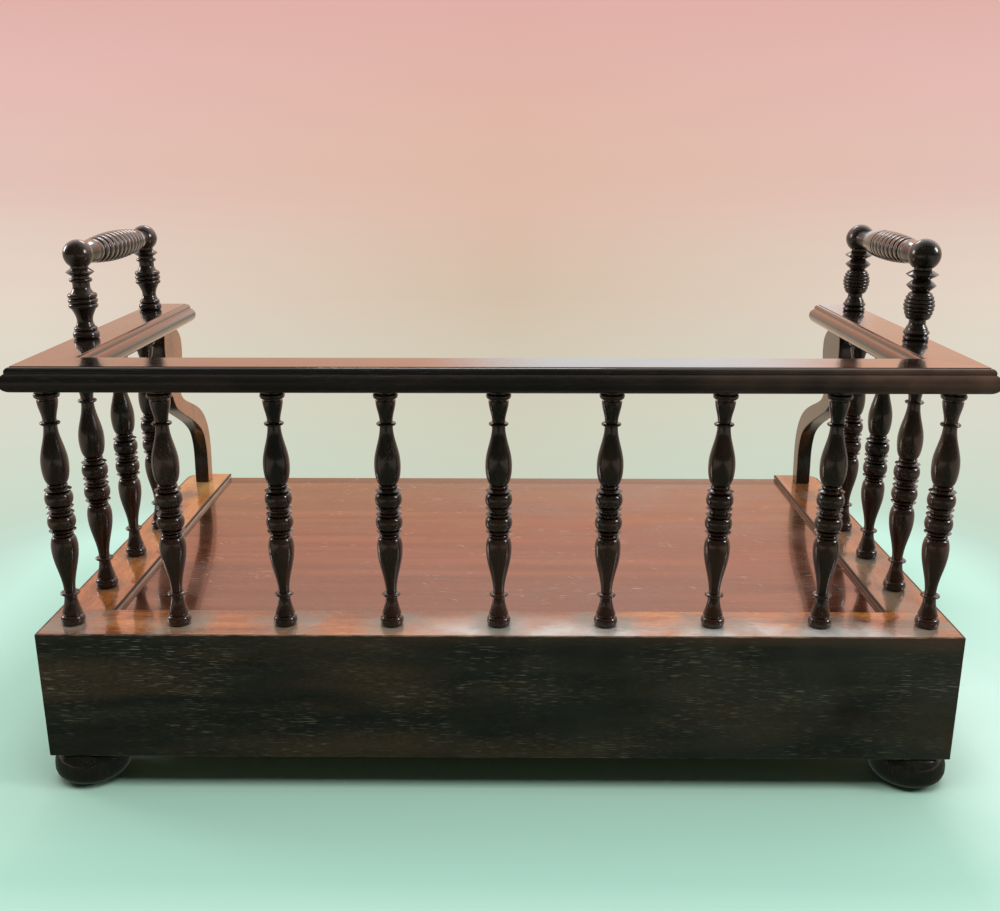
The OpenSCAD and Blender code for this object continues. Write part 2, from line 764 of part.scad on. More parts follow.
module grip(x, ball_dia, count, reeded, reed_depth) {
    clear = post_spacing - 2*land(ball_dia/2);
    color(turned_rosewood) translate([x, post_front_y + land(ball_dia/2) - grip_dowel_len, handle_z])
        rotate([-90, 0, 0]) turned(grip_steps(count, reeded, reed_depth, clear));
}

// A dovetail that widens from its root to its tip, and the pair of them on each end of a drawer side
module dovetail(root_y, tip_y, z, slack) {
    way = sign(tip_y - root_y);
    wide = way*(dovetail_h/2 + slack);
    narrow = wide - way*dovetail_flare;
    polygon([[root_y - way*cut, z - narrow], [root_y, z - narrow], [tip_y, z - wide],
        [tip_y, z + wide], [root_y, z + narrow], [root_y - way*cut, z + narrow]]);
}

module tails(root_y, tip_y, slack) {
    for (z = [tail_low, tail_high]) dovetail(root_y, tip_y, z, slack);
}

module tail_sockets(root_y, tip_y) {
    for (s = [-1, 1]) translate([s > 0 ? side_inner - joint_slack : -drawer_half - cut, 0, 0])
        rotate([90, 0, 90]) linear_extrude(drawer_side_t + joint_slack + cut)
            tails(root_y, tip_y, joint_slack);
}

module panel_groove() {
    block([-side_inner - groove_d, drawer_front_back - groove_d, panel_z - joint_slack],
        [side_inner + groove_d, drawer_end + cut, panel_top + joint_slack]);
}

module drawer_front() {
    color(drawer_wood) difference() {
        block([-drawer_half, front_y + veneer_t, drawer_z], [drawer_half, drawer_front_back, drawer_front_top]);
        tail_sockets(drawer_front_back + joint_slack, drawer_front_back - dovetail_lap - joint_slack);
        panel_groove();
        knob_holes();
    }
}

module knob_holes() {
    for (x = [-knob_spacing/2, knob_spacing/2]) translate([x, front_y - cut, knob_z]) rotate([-90, 0, 0])
        cylinder(r = knob_dowel_dia/2 + dowel_slack, h = veneer_t + drawer_front_t + 2*cut);
}

module drawer_veneer() {
    color(rosewood) difference() {
        block([-drawer_half, front_y, drawer_z], [drawer_half, front_y + veneer_t, drawer_front_top]);
        knob_holes();
    }
}

module drawer_side(side) {
    color(drawer_wood) difference() {
        left_of(side) translate([side_inner, 0, 0]) rotate([90, 0, 90]) linear_extrude(drawer_side_t) {
            translate([drawer_front_back, drawer_z])
                square([drawer_back_y - drawer_front_back, drawer_side_top - drawer_z]);
            translate([drawer_front_back, drawer_z])
                square([drawer_end - drawer_front_back, panel_top - joint_slack - drawer_z]);
            tails(drawer_front_back, drawer_front_back - dovetail_lap, 0);
            tails(drawer_back_y, drawer_end, 0);
        }
        panel_groove();
    }
}

module drawer_back() {
    color(drawer_wood) difference() {
        block([-drawer_half, drawer_back_y, panel_top], [drawer_half, drawer_end, drawer_side_top]);
        tail_sockets(drawer_back_y - joint_slack, drawer_end + joint_slack);
    }
}

module drawer_bottom() {
    color(drawer_wood) block(
        [-side_inner - groove_d + joint_slack, drawer_front_back - groove_d + joint_slack, panel_z],
        [side_inner + groove_d - joint_slack, drawer_end, panel_top]);
}

module knob(x) {
    color(turned_rosewood) translate([x, front_y + knob_dowel_len, knob_z]) rotate([90, 0, 0])
        turned(knob_steps);
}

back_board();
end_board("left");  // left_board
end_board("right");  // right_board
bottom_board();
front_rail();
drawer_stops();
bottom_screws();
platform();
front_lip();
border_back();
border_side("left");  // border_left
border_side("right");  // border_right
back_veneer();
end_veneer("left");  // left_veneer
end_veneer("right");  // right_veneer
foot(-foot_x, foot_front_y);  // foot_front_left
foot(foot_x, foot_front_y);  // foot_front_right
foot(-foot_x, foot_back_y);  // foot_back_left
foot(foot_x, foot_back_y);  // foot_back_right
for (i = [1:back_count]) baluster(back_row[i - 1]);
for (i = [1:side_count]) baluster(left_row[i - 1]);
for (i = [1:side_count]) baluster(right_row[i - 1]);
rail_back();
rail_side("left");  // rail_left
rail_side("right");  // rail_right
bracket("left");  // bracket_left
bracket("right");  // bracket_right
post(-post_x, post_back_y, -1, left_stem, left_ball_dia);  // post_left_back
post(-post_x, post_front_y, 1, left_stem, left_ball_dia);  // post_left_front
post(post_x, post_back_y, -1, right_stem, right_ball_dia);  // post_right_back
post(post_x, post_front_y, 1, right_stem, right_ball_dia);  // post_right_front
grip(-post_x, left_ball_dia, left_reeds, left_reeded_len, left_reed_depth);  // grip_left
grip(post_x, right_ball_dia, right_reeds, right_reeded_len, right_reed_depth);  // grip_right
drawer_front();
drawer_veneer();
drawer_side("left");  // drawer_left_side
drawer_side("right");  // drawer_right_side
drawer_back();
drawer_bottom();
knob(-knob_spacing/2);  // knob_left
knob(knob_spacing/2);  // knob_right
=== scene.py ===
import math

import bmesh
import bpy
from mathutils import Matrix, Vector


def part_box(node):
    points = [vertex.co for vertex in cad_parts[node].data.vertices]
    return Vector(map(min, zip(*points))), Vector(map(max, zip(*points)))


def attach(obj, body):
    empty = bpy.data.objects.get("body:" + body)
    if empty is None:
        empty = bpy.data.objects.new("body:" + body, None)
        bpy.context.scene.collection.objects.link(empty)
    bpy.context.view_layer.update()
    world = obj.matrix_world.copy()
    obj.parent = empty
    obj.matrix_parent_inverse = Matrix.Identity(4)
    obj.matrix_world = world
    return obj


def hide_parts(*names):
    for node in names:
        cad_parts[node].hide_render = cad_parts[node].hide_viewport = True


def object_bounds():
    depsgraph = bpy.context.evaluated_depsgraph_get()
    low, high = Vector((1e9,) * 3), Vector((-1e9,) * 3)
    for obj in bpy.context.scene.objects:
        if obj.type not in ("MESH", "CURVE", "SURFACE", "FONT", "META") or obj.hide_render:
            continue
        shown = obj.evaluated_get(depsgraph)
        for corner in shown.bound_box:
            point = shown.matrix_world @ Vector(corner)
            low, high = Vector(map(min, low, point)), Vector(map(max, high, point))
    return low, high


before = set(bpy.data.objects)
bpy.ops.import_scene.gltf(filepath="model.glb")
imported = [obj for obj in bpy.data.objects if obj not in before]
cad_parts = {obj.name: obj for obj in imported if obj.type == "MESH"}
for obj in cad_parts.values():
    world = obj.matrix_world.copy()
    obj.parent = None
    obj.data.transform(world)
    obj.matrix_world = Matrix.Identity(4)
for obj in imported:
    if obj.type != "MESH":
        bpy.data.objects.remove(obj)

mm = 0.001
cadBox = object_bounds()
print("frame loaded:", len(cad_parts), "nodes")


def middleOf(node):
    low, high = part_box(node)
    return (low + high)/2


def nodesNamed(prefix):
    return sorted(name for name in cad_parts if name.startswith(prefix))


def spotsAt(nodes, height):
    return [(middleOf(node).x, middleOf(node).y, height) for node in nodes]


def addObject(name, data):
    item = bpy.data.objects.new(name, data)
    bpy.context.scene.collection.objects.link(item)
    return item


# heights that the looks and the turned work are fitted to
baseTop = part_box("back_veneer")[1].z
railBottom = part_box("rail_back")[0].z
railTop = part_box("rail_back")[1].z


# shader nodes in short: a value may be a number, a colour or another node's output
def setInput(tree, socket, value):
    if isinstance(value, bpy.types.NodeSocket):
        tree.links.new(value, socket)
    elif socket.type == "RGBA" and len(value) == 3:
        socket.default_value = (*value, 1)
    else:
        socket.default_value = value


def addNode(tree, kind, inputs=None, **settings):
    node = tree.nodes.new(kind)
    for key, value in settings.items():
        setattr(node, key, value)
    for key, value in (inputs or {}).items():
        setInput(tree, node.inputs[key], value)
    return node


def sums(tree, operation, *values):
    node = addNode(tree, "ShaderNodeMath", operation=operation)
    for socket, value in zip(node.inputs, values):
        setInput(tree, socket, value)
    return node.outputs[0]


def vectors(tree, operation, first, second):
    node = addNode(tree, "ShaderNodeVectorMath", {0: first}, operation=operation)
    setInput(tree, node.inputs["Scale" if operation == "SCALE" else 1], second)
    return node.outputs["Value" if operation in ("DISTANCE", "DOT_PRODUCT") else "Vector"]


def ramp(tree, value, low, high, start=0.0, end=1.0):
    inputs = {"Value": value, "From Min": low, "From Max": high, "To Min": start, "To Max": end}
    return addNode(tree, "ShaderNodeMapRange", inputs).outputs[0]


def blend(tree, share, first, second):
    node = addNode(tree, "ShaderNodeMix", data_type="RGBA", blend_type="MIX")
    for index, value in ((0, share), (6, first), (7, second)):
        setInput(tree, node.inputs[index], value)
    return node.outputs[2]


def noise(tree, place, scale, detail=3.0, rough=0.5, output="Fac"):
    inputs = {"Vector": place, "Scale": scale, "Detail": detail, "Roughness": rough}
    return addNode(tree, "ShaderNodeTexNoise", inputs).outputs[output]


def patchy(tree, place, scale, detail, low, high, start=0.0, end=1.0):
    return ramp(tree, noise(tree, place, scale, detail), low, high, start, end)


def stretched(tree, place, grain, along, across):
    scale = tuple(along if axis == grain else across for axis in "XYZ")
    return addNode(tree, "ShaderNodeMapping", {"Vector": place, "Scale": scale}).outputs[0]


def turned(tree, place, degrees):
    inputs = {"Vector": place, "Angle": math.radians(degrees)}
    return addNode(tree, "ShaderNodeVectorRotate", inputs, rotation_type="Z_AXIS").outputs[0]


def axesOf(tree, place):
    return addNode(tree, "ShaderNodeSeparateXYZ", {0: place}).outputs


def objectCoords(tree):
    return addNode(tree, "ShaderNodeTexCoord").outputs["Object"]


def faceShare(tree, name):
    return addNode(tree, "ShaderNodeAttribute", attribute_name=name).outputs["Fac"]


def newMaterial(name):
    material = bpy.data.materials.new(name)
    material.use_nodes = True
    tree = material.node_tree
    return material, tree, tree.nodes["Principled BSDF"]


# what every wood starts from; scales are in features per metre, along and across the grain,
# ranges are where a noise turns from none to full, and patches are scale, detail and range
plainWood = {
    "grain": "X", "toneShift": (2.3, 4.1, 6.7), "waver": 0.006, "waverScale": 16,
    "dark": (0.012, 0.007, 0.005), "mid": (0.030, 0.014, 0.009), "light": (0.060, 0.026, 0.014),
    "figure": (7, 150), "figureDetail": 5.0, "figureRough": 0.6, "figureSteps": (0.34, 0.52, 0.72),
    "figureHeight": 0.25,
    "cloud": (0.080, 0.035, 0.016), "cloudScale": (8, 20), "cloudRange": (0.45, 0.68), "cloudShare": 0.25,
    "fibre": (420, 2600), "fibreRange": (0.30, 0.70), "fibreShare": 0.0,
    "pore": (0.100, 0.080, 0.055), "poreScale": (150, 2400), "poreFrom": 0.60, "poreEdge": 0.07,
    "poreShare": 0.5, "poreRough": 0.18, "poreCluster": (30, 60), "clusterRange": (0.40, 0.66),
    "toneSpread": 0.0, "toneColour": (0.070, 0.022, 0.012),
    "roughness": 0.26, "roughnessSpread": 0.12, "smudgeScale": 24, "smudgeRange": (0.3, 0.7), "dullRough": 0.3,
    "specular": 0.5, "coat": 0.25, "coatRoughness": 0.12,
    "bump": 0.06, "bumpDistance": 0.3*mm, "ripple": 0.0, "rippleScale": (14, 45),
    "wear": 0.0, "wearColour": (0.10, 0.055, 0.030), "wearPatches": (120, 3.0, 0.40, 0.65),
    "scratches": 0.0, "scratchColour": (0.62, 0.52, 0.42), "scratchRough": 0.3,
    "halos": [], "haloColour": (0.20, 0.215, 0.185), "haloReach": 19*mm, "haloShare": 0.75, "haloDull": 0.55,
    "band": None, "fade": None, "fadePatches": (45, 4.0, 0.3, 0.6),
    "side": None, "sidePatches": (60, 4.0, 0.32, 0.55), "sideLeast": 0.5,
    "seam": None, "seamColour": (0.010, 0.007, 0.005),
    "seamWidth": (1.3*mm, 0.7*mm), "seamDepth": (0.9*mm, 0.5*mm),
    "smear": 0.0, "smearClouds": (0.38, 0.66), "smearFigure": (0.62, 0.36), "flank": 0.0,
}
# families of thin straight marks, each an angle and a count per metre, and each kept to a few patches
scratchLook = {
    "families": ((2, 110), (-14, 60), (38, 75)), "fineness": 2400, "lineRange": (0.73, 0.77),
    "patchTurn": 50, "patches": (70, 2.0, 0.62, 0.67),
}
# the edge of a halo wanders by a share of its reach, and it is full within another share
haloEdge = {"scale": 70, "detail": 4.0, "rough": 0.6, "range": (0.3, 0.7), "wander": 0.5, "full": 0.25}


def scratchMask(tree, place):
    marks = 0.0
    for degrees, count in scratchLook["families"]:
        linePlace = stretched(tree, turned(tree, place, degrees), "X", count, scratchLook["fineness"])
        lines = ramp(tree, noise(tree, linePlace, 1.0, 0.0), *scratchLook["lineRange"])
        patches = patchy(tree, turned(tree, place, degrees + scratchLook["patchTurn"]), *scratchLook["patches"])
        marks = sums(tree, "MAXIMUM", marks, sums(tree, "MULTIPLY", lines, patches))
    return marks


def haloMask(tree, coords, spots, reach):
    # dull polish round each foot that stands on the slip, darker on the side slips as painted shade at the feet
    nearest = None
    for spot in spots:
        away = vectors(tree, "DISTANCE", coords, tuple(spot))
        nearest = away if nearest is None else sums(tree, "MINIMUM", nearest, away)
    edge = noise(tree, coords, haloEdge["scale"], haloEdge["detail"], haloEdge["rough"])
    wander = ramp(tree, edge, *haloEdge["range"], -haloEdge["wander"]*reach, haloEdge["wander"]*reach)
    return ramp(tree, sums(tree, "ADD", nearest, wander), reach, haloEdge["full"]*reach)


def woodMaterial(name, changes):
    look = {**plainWood, **changes}
    material, tree, shader = newMaterial(name)
    coords = objectCoords(tree)
    along = axesOf(tree, coords)
    tone = faceShare(tree, "tone")
    place = vectors(tree, "ADD", coords, vectors(tree, "SCALE", look["toneShift"], tone))
    sway = noise(tree, place, look["waverScale"], 2.0, 0.5, "Color")
    sway = vectors(tree, "SUBTRACT", sway, (0.5, 0.5, 0.5))
    grainPlace = vectors(tree, "ADD", place, vectors(tree, "SCALE", sway, look["waver"]))
    dulled = []  # masks of lost polish

    def grainNoise(where, scale, *settings):
        return noise(tree, stretched(tree, where, look["grain"], *scale), 1.0, *settings)

    # figure, clouds and fibres
    figure = grainNoise(grainPlace, look["figure"], look["figureDetail"], look["figureRough"])
    low, middle, high = look["figureSteps"]
    colour = blend(tree, ramp(tree, figure, low, middle), look["dark"], look["mid"])
    colour = blend(tree, ramp(tree, figure, middle, high), colour, look["light"])
    clouds = grainNoise(grainPlace, look["cloudScale"], 2.0)
    cloudShare = ramp(tree, clouds, *look["cloudRange"], 0.0, look["cloudShare"])
    colour = blend(tree, cloudShare, colour, look["cloud"])
    if look["fibreShare"]:
        fibres = grainNoise(grainPlace, look["fibre"], 2.0, 0.6)
        lift = ramp(tree, fibres, *look["fibreRange"], 1 - look["fibreShare"], 1 + look["fibreShare"])
        colour = vectors(tree, "SCALE", colour, lift)
    fade = look["fade"]
    if fade:  # bleached, warmed or dulled towards one side, and on the back's veneer, the back rail and the long slip partly painted light and sheen
        faded = patchy(tree, place, *look["fadePatches"], 0.0, fade["share"])
        for axis, start, end in fade["ramps"]:
            faded = sums(tree, "MULTIPLY", faded, ramp(tree, along[axis], start, end))
        colour = blend(tree, faded, colour, fade["colour"])
        if "dulls" in fade:
            dulled.append(sums(tree, "MULTIPLY", faded, fade["dulls"]))
    if look["toneSpread"]:
        colour = blend(tree, sums(tree, "MULTIPLY", tone, look["toneSpread"]), colour, look["toneColour"])

    # pores, in clusters
    pores = grainNoise(place, look["poreScale"], 1.0)
    pores = ramp(tree, pores, look["poreFrom"], look["poreFrom"] + look["poreEdge"])
    clusters = ramp(tree, grainNoise(place, look["poreCluster"], 2.0), *look["clusterRange"])
    pores = sums(tree, "MULTIPLY", pores, clusters)
    colour = blend(tree, sums(tree, "MULTIPLY", pores, look["poreShare"]), colour, look["pore"])

    # polish: smudges, then marks of use
    smudge = noise(tree, place, look["smudgeScale"], 3.0, 0.6)
    spread = look["roughnessSpread"]/2
    rough = ramp(tree, smudge, *look["smudgeRange"], look["roughness"] - spread, look["roughness"] + spread)
    rough = sums(tree, "ADD", rough, sums(tree, "MULTIPLY", pores, look["poreRough"]))
    band = look["band"]
    if band:
        uneven = grainNoise(place, band["unevenScale"])
        uneven = ramp(tree, uneven, *band["unevenRange"], -band["uneven"], band["uneven"])
        share = ramp(tree, sums(tree, "ADD", along["Z"], uneven), *band["height"], 0.0, band["share"])
        share = sums(tree, "MULTIPLY", share, ramp(tree, along["X"], *band["across"], band["least"], 1.0))
        colour = blend(tree, share, colour, band["colour"])
    if look["scratches"]:
        marks = sums(tree, "MULTIPLY", scratchMask(tree, place), look["scratches"])
        colour = blend(tree, marks, colour, look["scratchColour"])
        rough = sums(tree, "ADD", rough, sums(tree, "MULTIPLY", marks, look["scratchRough"]))
    if look["halos"]:
        halo = haloMask(tree, coords, look["halos"], look["haloReach"])
        colour = blend(tree, sums(tree, "MULTIPLY", halo, look["haloShare"]), colour, look["haloColour"])
        dulled.append(sums(tree, "MULTIPLY", halo, look["haloDull"]))
    if look["wear"]:
        rubbed = patchy(tree, place, *look["wearPatches"], 0.0, look["wear"])
        rubbed = sums(tree, "MULTIPLY", faceShare(tree, "edgeWear"), rubbed)
        colour = blend(tree, rubbed, colour, look["wearColour"])
    if look["side"]:  # faces towards left and right take another colour, which on the brackets is a painted reflection
        sideShare = patchy(tree, place, *look["sidePatches"], look["sideLeast"], 1.0)
        sideShare = sums(tree, "MULTIPLY", faceShare(tree, "sideFace"), sideShare)
        colour = blend(tree, sideShare, colour, look["side"])
    if look["seam"]:  # a dark line along the arris next to the sunk board
        outer, inner = (look["seam"] + width for width in look["seamWidth"])
        bottom, top = (baseTop - depth for depth in look["seamDepth"])
        seam = ramp(tree, sums(tree, "ABSOLUTE", along["X"]), outer, inner)
        seam = sums(tree, "MULTIPLY", seam, ramp(tree, along["Z"], bottom, top))
        colour = blend(tree, seam, colour, look["seamColour"])
        dulled.append(seam)
    if look["smear"]:  # polish worn thin in streaks along the grain
        dulled.append(ramp(tree, clouds, *look["smearClouds"], 0.0, look["smear"]))
        dulled.append(ramp(tree, figure, *look["smearFigure"], 0.0, look["smear"]/2))
    if look["flank"]:  # only the top is polished bright
        dulled.append(ramp(tree, faceShare(tree, "topFace"), 0.0, 1.0, look["flank"], 0.0))
    polish = look["coat"]
    for mask in dulled:
        rough = sums(tree, "ADD", rough, sums(tree, "MULTIPLY", mask, look["dullRough"]))
        polish = sums(tree, "MULTIPLY", polish, sums(tree, "SUBTRACT", 1.0, mask))

    height = sums(tree, "SUBTRACT", sums(tree, "MULTIPLY", figure, look["figureHeight"]), pores)
    if look["ripple"]:  # old boards are never quite flat
        waves = grainNoise(place, look["rippleScale"], 2.0)
        height = sums(tree, "ADD", height, sums(tree, "MULTIPLY", waves, look["ripple"]))
    bump = addNode(tree, "ShaderNodeBump", {
        "Strength": look["bump"], "Distance": look["bumpDistance"], "Height": height}).outputs[0]
    for socket, value in (("Base Color", colour), ("Roughness", rough), ("Normal", bump),
                          ("Specular IOR Level", look["specular"]), ("Coat Normal", bump),
                          ("Coat Weight", polish), ("Coat Roughness", look["coatRoughness"])):
        setInput(tree, shader.inputs[socket], value)
    return material


# rosewood of the veneers and rails: near-black with brown clouds and short pale pores along the grain
veneerLook = {
    "dark": (0.0085, 0.0090, 0.0068), "mid": (0.0150, 0.0145, 0.0105), "light": (0.028, 0.023, 0.015),
    "figure": (5, 110), "waver": 0.012, "cloud": (0.085, 0.042, 0.018), "cloudScale": (8, 40), "cloudShare": 0.7,
    "pore": (0.190, 0.170, 0.115), "poreScale": (150, 2900), "poreFrom": 0.62, "poreShare": 0.8,
    "poreCluster": (25, 50), "fibreShare": 0.45, "roughness": 0.34, "coat": 0.05,
    "wear": 0.8, "wearColour": (0.26, 0.16, 0.095),
}
# the edge of the top board shows redder above the veneer of the back, most of all to the part's left
veneerBand = {
    "height": (baseTop - 6*mm, baseTop - 0.5*mm), "across": (120*mm, -140*mm), "least": 0.15,
    "uneven": 2.5*mm, "unevenScale": (20, 90), "unevenRange": (0.3, 0.7),
    "share": 0.75, "colour": (0.075, 0.034, 0.019),
}
# painted light and reflection: the back's veneer is made lighter and greener towards the part's left, for the side
# light there and the green floor it mirrors
veneerPaintedLight = {"ramps": [("X", 120*mm, -200*mm)], "share": 0.65, "colour": (0.036, 0.037, 0.026)}
railLook = {
    **veneerLook,
    "dark": (0.0040, 0.0036, 0.0030), "mid": (0.0070, 0.0055, 0.0044), "light": (0.022, 0.012, 0.008),
    "pore": (0.060, 0.050, 0.038), "poreShare": 0.4, "cloud": (0.034, 0.015, 0.008),
    "roughness": 0.18, "coat": 1.0, "coatRoughness": 0.08, "ripple": 0.3,
}
# the back rail is dull below its flat top, and lighter and browner to the part's left, partly its own tone and
# partly painted sheen
railBrownAndSheen = {"ramps": [("X", -40*mm, -200*mm)], "share": 0.85, "colour": (0.095, 0.046, 0.028)}
backRailLook = {"cloudShare": 0.1, "flank": 0.8, "fade": railBrownAndSheen}
turnedLook = {
    "dark": (0.0040, 0.0040, 0.0029), "mid": (0.0070, 0.0062, 0.0042), "light": (0.027, 0.0130, 0.0072),
    "figure": (16, 260), "cloud": (0.050, 0.018, 0.008), "cloudShare": 0.3, "cloudScale": (14, 60),
    "pore": (0.080, 0.060, 0.042), "poreShare": 0.4, "poreScale": (200, 2200), "fibreShare": 0.3,
    "roughness": 0.22, "coat": 0.5, "coatRoughness": 0.06, "toneSpread": 0.3, "toneColour": (0.040, 0.014, 0.007),
}
# the lower vases of the gallery are the redder ones
turnedFade = {"ramps": [("Z", 135*mm, 92*mm)], "share": 0.75, "colour": (0.044, 0.013, 0.0065)}
gripLook = {"grain": "Y", "coat": 0.8, "roughness": 0.24, "toneSpread": 0.0, "cloudShare": 0.2}
footLook = {"grain": "Z", "coat": 1.0, "toneSpread": 0.0, "cloudShare": 0.15, "light": (0.016, 0.011, 0.008)}
bracketLook = {
    "grain": "Z", "wear": 0.5, "roughness": 0.15, "coat": 0.6, "coatRoughness": 0.05, "toneSpread": 0.0,
}
platformLook = {
    "dark": (0.026, 0.009, 0.005), "mid": (0.062, 0.019, 0.010), "light": (0.105, 0.036, 0.016),
    "figure": (4, 120), "cloud": (0.120, 0.044, 0.027), "cloudScale": (5, 22), "cloudShare": 0.6,
    "pore": (0.030, 0.012, 0.008), "poreShare": 0.75, "poreScale": (90, 1500),
    "fibre": (260, 1300), "fibreShare": 0.55,
    "roughness": 0.11, "roughnessSpread": 0.08, "specular": 0.7, "coat": 1.0, "coatRoughness": 0.05,
    "smear": 0.35, "bump": 0.05, "ripple": 0.45, "scratches": 0.7, "wear": 0.5, "wearColour": (0.36, 0.18, 0.09),
    "fade": {"ramps": [("Y", 20*mm, -105*mm)], "share": 0.6, "colour": (0.080, 0.056, 0.014)},
}
lipLook = {
    "dark": (0.026, 0.014, 0.007), "mid": (0.046, 0.026, 0.011), "light": (0.072, 0.042, 0.017),
    "cloud": (0.080, 0.050, 0.020), "coat": 0.5, "fade": None,
}
borderLook = {
    "dark": (0.120, 0.038, 0.014), "mid": (0.380, 0.128, 0.034), "light": (0.580, 0.235, 0.065),
    "figure": (9, 95), "figureDetail": 4.0, "waver": 0.014,
    "cloud": (0.110, 0.040, 0.018), "cloudScale": (9, 22), "cloudShare": 0.6,
    "pore": (0.060, 0.018, 0.009), "poreShare": 0.5, "poreScale": (110, 1700),
    "fibre": (260, 1300), "fibreShare": 0.35, "roughness": 0.18, "coat": 0.9, "coatRoughness": 0.06,
    "ripple": 0.4, "scratches": 0.5, "wear": 0.9, "wearColour": (0.46, 0.36, 0.26),
}
# the long slip has lost its shine along the part's left half, most of all at its outer edge, and is painted pale
# grey there, partly dull bloom and partly painted reflection
borderBloomAndSheen = {
    "ramps": [("X", 60*mm, 10*mm), ("X", -188*mm, -160*mm), ("Y", 100*mm, 118*mm)],
    "share": 1.0, "colour": (0.48, 0.475, 0.46), "dulls": 0.5,
}
# a side slip has a dark line along its arris, and round the feet a smaller halo whose darker colour is painted
# shade
sideLook = {
    "grain": "Y", "seam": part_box("border_right")[0].x, "haloReach": 10*mm, "haloColour": (0.11, 0.105, 0.085),
}
sideBleach = {"ramps": [("Y", 60*mm, -90*mm)], "share": 0.7, "colour": (0.56, 0.34, 0.13)}
sideGrey = {"ramps": [("Y", -50*mm, 80*mm)], "share": 0.85, "colour": (0.215, 0.195, 0.145), "dulls": 0.3}
sideDark = {"dark": (0.060, 0.024, 0.011), "mid": (0.190, 0.072, 0.024), "light": (0.350, 0.140, 0.045)}
carcaseLook = {
    "dark": (0.150, 0.075, 0.035), "mid": (0.235, 0.125, 0.060), "light": (0.330, 0.190, 0.095),
    "figure": (5, 130), "cloud": (0.140, 0.085, 0.050), "cloudShare": 0.4, "cloudScale": (6, 16),
    "pore": (0.080, 0.040, 0.020), "poreShare": 0.5, "roughness": 0.62, "coat": 0.0, "bump": 0.15,
}
drawerLook = {
    "dark": (0.210, 0.105, 0.045), "mid": (0.320, 0.175, 0.080), "light": (0.420, 0.250, 0.125),
    "figure": (5, 160), "cloud": (0.250, 0.150, 0.080), "cloudShare": 0.4, "cloudScale": (6, 16),
    "pore": (0.110, 0.055, 0.025), "poreShare": 0.5, "roughness": 0.45, "coat": 0.05, "bump": 0.12,
    "wear": 0.5, "wearColour": (0.14, 0.075, 0.040),
}

# what stands on each slip
backSpots = spotsAt(nodesNamed("baluster_back_"), baseTop)
leftSpots = spotsAt(nodesNamed("baluster_left_") + ["baluster_back_1", "bracket_left"], baseTop)
rightSpots = spotsAt(nodesNamed("baluster_right_") + ["baluster_back_9", "bracket_right"], baseTop)

# each finish once for each way that the grain runs
woodLooks = {
    "backVeneer": {**veneerLook, "band": veneerBand, "fade": veneerPaintedLight},
    "sideVeneer": {**veneerLook, "grain": "Y"},
    "frontVeneer": veneerLook,
    "railAcross": {**railLook, **backRailLook},
    "railAlong": {**railLook, "grain": "Y"},
    "turnedUpright": {**turnedLook, "grain": "Z", "fade": turnedFade},
    "turnedFoot": {**turnedLook, **footLook},
    "turnedKnob": {**turnedLook, "grain": "Y"},
    "turnedGrip": {**turnedLook, **gripLook},
    # the brackets' flat sides are painted reflections: warm on one bracket, dim grey on the other
    "bracketWarmReflection": {**turnedLook, **bracketLook, "side": (0.330, 0.098, 0.024)},
    "bracketDimReflection": {**turnedLook, **bracketLook, "side": (0.034, 0.032, 0.020)},
    "platformBoard": platformLook,
    "frontLip": {**platformLook, **lipLook},
    "borderBack": {**borderLook, "halos": backSpots, "fade": borderBloomAndSheen},
    "borderLeft": {**borderLook, **sideLook, **sideDark, "halos": leftSpots, "fade": sideGrey,
                   "side": (0.07, 0.042, 0.025)},
    "borderRight": {**borderLook, **sideLook, "halos": rightSpots, "fade": sideBleach, "side": (0.46, 0.42, 0.34)},
    "carcaseAcross": carcaseLook,
    "carcaseAlong": {**carcaseLook, "grain": "Y"},
    "drawerAcross": drawerLook,
    "drawerAlong": {**drawerLook, "grain": "Y"},
}
steelLook = {
    "bare": (0.34, 0.32, 0.29), "tarnished": (0.13, 0.10, 0.08), "tarnish": (700, 4.0, 0.40, 0.62),
    "roughness": (0.35, 0.65), "metallic": 0.9,
}


def steelMaterial(name):
    material, tree, shader = newMaterial(name)
    tarnish = patchy(tree, objectCoords(tree), *steelLook["tarnish"])
    colour = blend(tree, tarnish, steelLook["bare"], steelLook["tarnished"])
    setInput(tree, shader.inputs["Base Color"], colour)
    setInput(tree, shader.inputs["Roughness"], ramp(tree, tarnish, 0.0, 1.0, *steelLook["roughness"]))
    shader.inputs["Metallic"].default_value = steelLook["metallic"]
    return material


finishes = {name: woodMaterial(name, look) for name, look in woodLooks.items()}
finishes["screwSteel"] = steelMaterial("screwSteel")
print("finishes ready:", len(finishes))


# turned work is a list of steps from the bottom up: kind, height, radius at the start, radius at the end, in mm
turning = {"roundSteps": 10, "sides": 40, "pole": 0.05, "leastRise": 0.01, "crease": 38}
stepShapes = {
    "bead": lambda t: (math.sin(math.pi*t), (1 - math.cos(math.pi*t))/2),
    "cup": lambda t: (math.sin(math.pi*t/2), 1 - math.cos(math.pi*t/2)),
    "dome": lambda t: (1 - math.cos(math.pi*t/2), math.sin(math.pi*t/2)),
    "disc": lambda t: (1 - abs(2*t - 1)**1.15, t),
    "ease": lambda t: ((1 - math.cos(math.pi*t))/2, t),
    "flare": lambda t: (1 - math.cos(math.pi*t/2), t),
    "bell": lambda t: (math.sin(math.pi*t/2), t),
    "line": lambda t: (t, t),
}


def ballHeight(root, radius):
    return radius*(1 + math.cos(math.radians(root)))


def stepPoints(step, base):
    kind, height, start, end = step
    shares = [i/turning["roundSteps"] for i in range(turning["roundSteps"] + 1)]
    if kind == "ball":  # start is the angle at which the ball leaves its stem
        root = math.radians(start)
        angles = [root + (math.pi - root)*t for t in shares]
        return [(max(end*math.sin(a), turning["pole"]), base + end*(math.cos(root) - math.cos(a))) for a in angles]
    if kind == "line":
        shares = (0, 1)
    return [(start + (end - start)*swell, base + height*rise) for swell, rise in map(stepShapes[kind], shares)]


def heightOf(steps):
    return sum(step[1] for step in steps)


